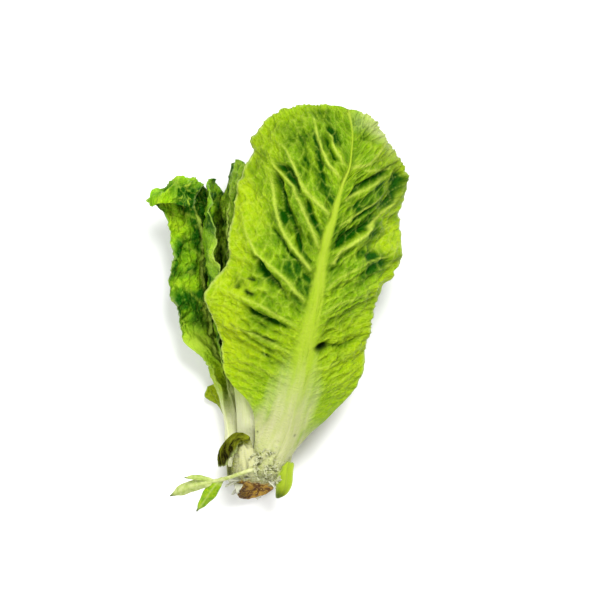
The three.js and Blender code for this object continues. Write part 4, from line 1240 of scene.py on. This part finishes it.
# Dry remains of old leaves beside the cut end: middle of the foot, way that they point, length and width
FLAKES = [
    [(-24.5, -104.5, 29), (-0.75, -0.25, 0.35), 7.5, 6.5],
    [(-25.5, -107, 26), (-0.7, -0.5, 0.25), 6.5, 8.0],
    [(-23, -109.5, 29.5), (-0.5, -0.75, 0.3), 7.0, 7.5],
    [(-24, -112, 18), (-0.6, -0.6, -0.1), 6.0, 6.0],
    [(-4, -107, 33), (0.3, -0.75, 0.5), 5.0, 4.5],
    [(-1.5, -110, 22), (0.7, -0.55, 0.1), 5.0, 6.0],
    [(-18, -103.5, 34.5), (-0.45, -0.3, 0.8), 4.5, 4.5],
    [(-12.5, -115.5, 9.5), (0.1, -0.6, -0.6), 4.5, 6.0],
]

# Small rags: how many are tried, where they fall, and how high a place has to be to hold one
SCRAPS = 60
SCRAPS_X = (-17.0, 0.5)
SCRAPS_Y = (-104.5, -86.0)
SCRAPS_ABOVE = 30.0


def flake_shell(number, foot, way, length, width, husk=0.3):
    """One curled scrap, thin and ragged, its foot sunk into the stem. husk is how white it is."""
    foot, way = np.array(foot, float), unit(np.array(way, float))
    centre_x, centre_z = along(BODY, foot[1])[:2]
    inward = unit(np.array([centre_x, foot[1], centre_z]) - foot)
    sideways = unit(np.cross(way, inward))

    def base(u, v):
        ragged = 1 + 0.25 * noise(5 * u + 9 * number, 3 * v, 1, 91)
        half = 0.5 * width * (1 - 0.75 * u**2)
        ahead = (length * (u - 0.3) * (1 - 0.2 * v**2) * ragged)[..., None]
        curl = (1.6 * v**2 + 0.35 * length * u**2 * math.sin(2.1 * number))[..., None]
        return foot + way * ahead + sideways * (half * v)[..., None] - inward * curl

    leaf = Leaf(base, 14, 10, 14, 10)
    zero = leaf.plain()
    values = {"cut": zero, "scar": zero, "stain": zero, "husk": leaf.plain(husk)}
    return leaf_shell(leaf, 0.35 * leaf.noise(1.2, number), zero, leaf.plain(0.5), values)


def top_height(surfaces, x, y):
    """The height of the highest surface at a place, or 0 where there is none."""
    near = [points[np.hypot(points[:, 0] - x, points[:, 1] - y) < 0.9][:, 2] for points in surfaces]
    return max(np.concatenate(near), default=0.0)


def scrap_shells(surfaces):
    """Small pale rags that lie scattered over the crown and over the feet of the leaves round it."""
    for k in range(SCRAPS):
        x = mix(*SCRAPS_X, scatter(k, 1, 7))
        y = mix(*SCRAPS_Y, scatter(k, 2, 7) ** 1.7) - 0.1 * (x - SCRAPS_X[0])
        z = top_height(surfaces, x, y)
        if z < SCRAPS_ABOVE:
            continue
        turn = TURN * scatter(k, 3, 7)
        way = (math.cos(turn), math.sin(turn), 0.2 + 0.6 * scatter(k, 4, 7))
        length = mix(1.4, 3.4, scatter(k, 5, 7))
        yield flake_shell(20 + k, (x, y, z - 0.1), way, length, length * mix(0.3, 0.7, scatter(k, 6, 7)))


def stem(material):
    body = stem_shell()
    shells = [body] + [flake_shell(number, *flake, husk=0.85) for number, flake in enumerate(FLAKES)]
    shells.extend(scrap_shells([body[0], *built]))
    install("stem_body", "stem", "stem", shells, material)


def stem_material():
    """Pale green tissue with fibres, stains and specks, brown and rough where it was cut."""
    n = Nodes("stem", colour(232, 182, 66))
    where = n.place()
    fibres = n.stretched(where, 0.2)
    n.coat(colour(112, 66, 10), n.spots(where, 0.22, 0.42, 0.58, detail=5.0, roughness=0.7))
    n.coat(colour(234, 196, 96), n.spots(where, 0.9, 0.54, 0.68))
    n.coat(colour(52, 30, 6), n.share("stain"))
    wood, n.surface = n.surface, colour(222, 224, 160)
    n.coat(colour(186, 198, 104), n.spots(fibres, 0.5, 0.35, 0.65, detail=4.0))
    stains = n.spots(where, 0.28, 0.45, 0.62, detail=5.0, roughness=0.65)
    n.coat(colour(156, 132, 66), n.times(stains, n.share("scar")))
    n.coat(colour(242, 242, 200), n.spots(where, 0.9, 0.5, 0.62), 0.7)
    n.coat(colour(84, 84, 24), n.spots(where, 0.8, 0.58, 0.66, roughness=0.7), 0.85)
    n.coat(colour(252, 252, 230), n.share("husk"))
    n.coat(wood, n.share("cut"))
    height = n.sum(n.noise(where, 0.9, 5.0), n.times(n.noise(fibres, 1.6), 0.6))
    return n.finished(Roughness=0.7, Specular_IOR_Level=0.2, Normal=n.relief(height, 0.8, 0.001))


# The side shoot: a thin stalk with two small leaves and a bract, as the solid has them
STALK = [
    [-13, -99.5, 40], [-16, -98.8, 45.2], [-21, -100.4, 45.4], [-28, -103, 42], [-34, -104.8, 37.4],
    [-39.6, -106.2, 34.7],
]
STALK_RADIUS = 1.2
SHOOT_LEAVES = [
    {
        "middle": [[-33, -103.6, 36.2], [-38, -108.5, 35.5], [-42, -114, 32.5], [-46, -120, 28.5],
                   [-49.5, -124.6, 25]],
        "left": [[-34, -103.2, 36.2], [-41, -106.8, 34.5], [-45.5, -112, 31], [-48.5, -119, 27.5],
                 [-49.9, -124.4, 25]],
        "right": [[-32, -104, 36.2], [-35, -110.5, 34.5], [-38, -116, 31.5], [-43.5, -121, 28],
                  [-49, -124.8, 25]],
        "green": 1.0,
    },
    {
        "middle": [[-37.5, -105.7, 35.2], [-45, -107.5, 34], [-52, -109.2, 31], [-59, -112, 26.5],
                   [-66, -115.4, 21]],
        "left": [[-37.5, -104.9, 35.2], [-45.5, -104.5, 33.5], [-53, -105.5, 30.5], [-61, -109, 25.5],
                 [-66.2, -115, 21]],
        "right": [[-37.5, -106.5, 35.2], [-44.5, -110.3, 33], [-51.5, -112.7, 29.5], [-58, -115, 25.5],
                  [-65.8, -115.8, 21]],
        "green": 0.35,
    },
    {
        "middle": [[-38.2, -105.6, 34.4], [-46, -103.8, 35.5], [-52, -103.4, 35.5], [-57, -103.8, 34]],
        "left": [[-38.2, -105, 34.4], [-46, -102.2, 35.2], [-52.2, -102, 35.2], [-57, -103.5, 34]],
        "right": [[-38.2, -106.2, 34.4], [-46, -105.4, 35.8], [-52, -104.8, 35.8], [-57, -104.1, 34]],
        "green": 0.6,
    },
]


def stalk_shell(steps=60, sides=18):
    """The stalk, a little thicker where it leaves the stem, its two ends closed."""
    rows = evenly(STALK)
    t = np.linspace(0, 1, steps + 1)
    ahead = unit(along(rows, np.minimum(t + 0.01, 1)) - along(rows, np.maximum(t - 0.01, 0)))
    side = unit(np.cross(ahead, [0, 0, 1]))
    above = np.cross(side, ahead)
    angle = np.linspace(0, TURN, sides, endpoint=False)[None, :, None]
    radius = STALK_RADIUS * (mix(1.3, 1.0, smoothstep(0, 0.5, t)) + 0.08 * noise(9 * t, t, 1, 95))
    around = np.cos(angle) * side[:, None] + np.sin(angle) * above[:, None]
    rings = along(rows, t)[:, None] + radius[:, None, None] * around
    zero = np.zeros(len(t) * sides)
    return tube_shell(rings, sides, {"leaf": np.repeat(0.25 * t, sides), "tip": zero, "vein": zero})


def shoot_leaf_shell(spec, number):
    leaf = Leaf(rail_surface(spec["middle"], spec["left"], spec["right"]), 64, 24, 8, 4)
    relief = 0.9 * leaf.w**2 * smoothstep(0, 0.4, leaf.u)
    relief = relief + 0.35 * np.sin(TURN * 3.5 * leaf.u + number) * leaf.w**3
    relief = relief + 0.2 * leaf.noise(2.2, 97 + number)
    values = {
        "leaf": spec["green"] * smoothstep(0, 0.25, leaf.u),
        "tip": smoothstep(0.86, 1, leaf.u),
        "vein": clamped(bump(leaf.across / 0.5) + 0.5 * side_veins(leaf, 6, 0.3, number, 0.35)),
    }
    return leaf_shell(leaf, relief, leaf_rib(leaf, 0.6, 0.5), leaf.plain(0.8), values)


def side_shoot(material):
    shells = [stalk_shell()] + [shoot_leaf_shell(spec, number) for number, spec in enumerate(SHOOT_LEAVES)]
    install("side_shoot_body", "side_shoot", "side_shoot", shells, material)


def side_shoot_material():
    """A pale stalk, leaves from pale to vivid green, brown at their tips."""
    n = Nodes("side_shoot")
    where = n.place()
    patches = n.spots(where, 0.35, 0.35, 0.65, detail=4.0)
    n.surface = n.blend(colour(238, 240, 178), colour(206, 218, 122), patches)
    n.coat(n.blend(colour(172, 208, 14), colour(126, 178, 6), patches), n.share("leaf"))
    n.coat(colour(204, 218, 124), n.share("vein"), 0.5)
    n.coat(colour(70, 92, 16), n.share("tip"))
    normal = n.relief(n.noise(where, 1.4, 4.0), 0.4, 0.0006)
    return n.finished(Roughness=0.5, Specular_IOR_Level=0.12, Normal=normal)


# Making the head. Each slot's colours: light, dark, painted shade (brown mottles on the wilted leaf), vein,
# rib and root
LEAF_COLOURS = {
    "top_leaf": [
        (166, 208, 4), (106, 168, 0), (14, 84, 0), (206, 226, 88), (184, 208, 62), (222, 224, 164),
    ],
    # The dark leaf's root colour is whiter than the stalk's own: painted light that lifts the shade between
    # the stalks.
    "dark_leaf": [
        (174, 232, 14), (88, 182, 2), (16, 98, 0), (196, 230, 66), (200, 224, 92), (255, 255, 210),
    ],
    "outer_leaf": [
        (152, 194, 14), (102, 158, 4), (16, 80, 0), (190, 216, 76), (196, 216, 96), (224, 228, 168),
    ],
    "middle_leaf": [
        (164, 210, 26), (112, 174, 8), (24, 94, 0), (202, 220, 96), (214, 228, 124), (250, 252, 206),
    ],
    "inner_leaf": [
        (204, 216, 104), (178, 202, 70), (120, 154, 36), (222, 228, 148), (224, 228, 162), (228, 230, 188),
    ],
    "heart_leaf": [
        (226, 226, 138), (210, 214, 106), (172, 178, 62), (232, 232, 172), (232, 232, 182), (232, 232, 200),
    ],
    "wilted_leaf": [
        (146, 156, 28), (88, 94, 8), (36, 30, 2), (150, 156, 44), (214, 220, 132), (236, 236, 178),
    ],
}
FINISHES = {"dark_leaf": {"gloss": 0.36, "shine": 0.22}, "wilted_leaf": {"gloss": 0.6}}

greens = {}
for slot, colours in LEAF_COLOURS.items():
    greens[slot] = leaf_material(slot, *[colour(*values) for values in colours], **FINISHES.get(slot, {}))

front_leaf(greens["top_leaf"])
left_leaf(greens["dark_leaf"])
for number, spec in enumerate(LAYERED):
    layered_leaf(spec, 100 + number, greens[spec["slot"]])
for number, spec in enumerate(s for layer in LAYERS for s in layer_leaves(layer)):
    layered_leaf(spec, 200 + number, greens[spec["slot"]], step=5)
for number, spec in enumerate(SMALL_LEAVES):
    small_leaf(spec, 300 + number, greens[spec["slot"]])
stem(stem_material())
side_shoot(side_shoot_material())

# Floor, light and camera
VIEW_CENTRE = (0.0140, 0.0052)
VIEW_WIDTH = 0.366
VIEW_PLANE = 0.055
CAMERA_HEIGHT = 4.0
SENSOR = 36.0
LIGHTS_AIM = (0, 0, 0.03)
LIGHT_BREADTH = 0.8
FLOOR_HALF = 3.0
WORLD_STRENGTH = 0.55


def add_floor():
    mesh = bpy.data.meshes.new("floor")
    corners = [(FLOOR_HALF * x, FLOOR_HALF * y, 0) for x, y in [(-1, -1), (1, -1), (1, 1), (-1, 1)]]
    mesh.from_pydata(corners, [], [(0, 1, 2, 3)])
    mesh.materials.append(Nodes("floor", (0.93, 0.93, 0.93, 1.0)).finished(Roughness=0.9))
    floor = bpy.data.objects.new("floor", mesh)
    bpy.context.scene.collection.objects.link(floor)


def add_light(name, place, power):
    data = bpy.data.lights.new(name, "AREA")
    data.shape = "DISK"
    data.size = LIGHT_BREADTH
    data.energy = power
    light = bpy.data.objects.new(name, data)
    light.location = place
    light.rotation_euler = (Vector(LIGHTS_AIM) - Vector(place)).to_track_quat("-Z", "Y").to_euler()
    bpy.context.scene.collection.objects.link(light)


def add_camera():
    data = bpy.data.cameras.new("camera")
    data.sensor_width = SENSOR
    data.lens = SENSOR * (CAMERA_HEIGHT - VIEW_PLANE) / VIEW_WIDTH
    camera = bpy.data.objects.new("camera", data)
    camera.location = (*VIEW_CENTRE, CAMERA_HEIGHT)
    bpy.context.scene.collection.objects.link(camera)
    bpy.context.scene.camera = camera


def set_world():
    world = bpy.data.worlds.new("studio")
    world.use_nodes = True
    background = world.node_tree.nodes["Background"]
    background.inputs["Color"].default_value = (1.0, 1.0, 1.0, 1.0)
    background.inputs["Strength"].default_value = WORLD_STRENGTH
    bpy.context.scene.world = world


add_floor()
add_light("key", (0.32, 0.75, 1.55), 39)
add_light("fill", (-0.8, -0.5, 1.3), 12)
add_camera()
set_world()
bpy.context.scene.view_settings.view_transform = "Standard"
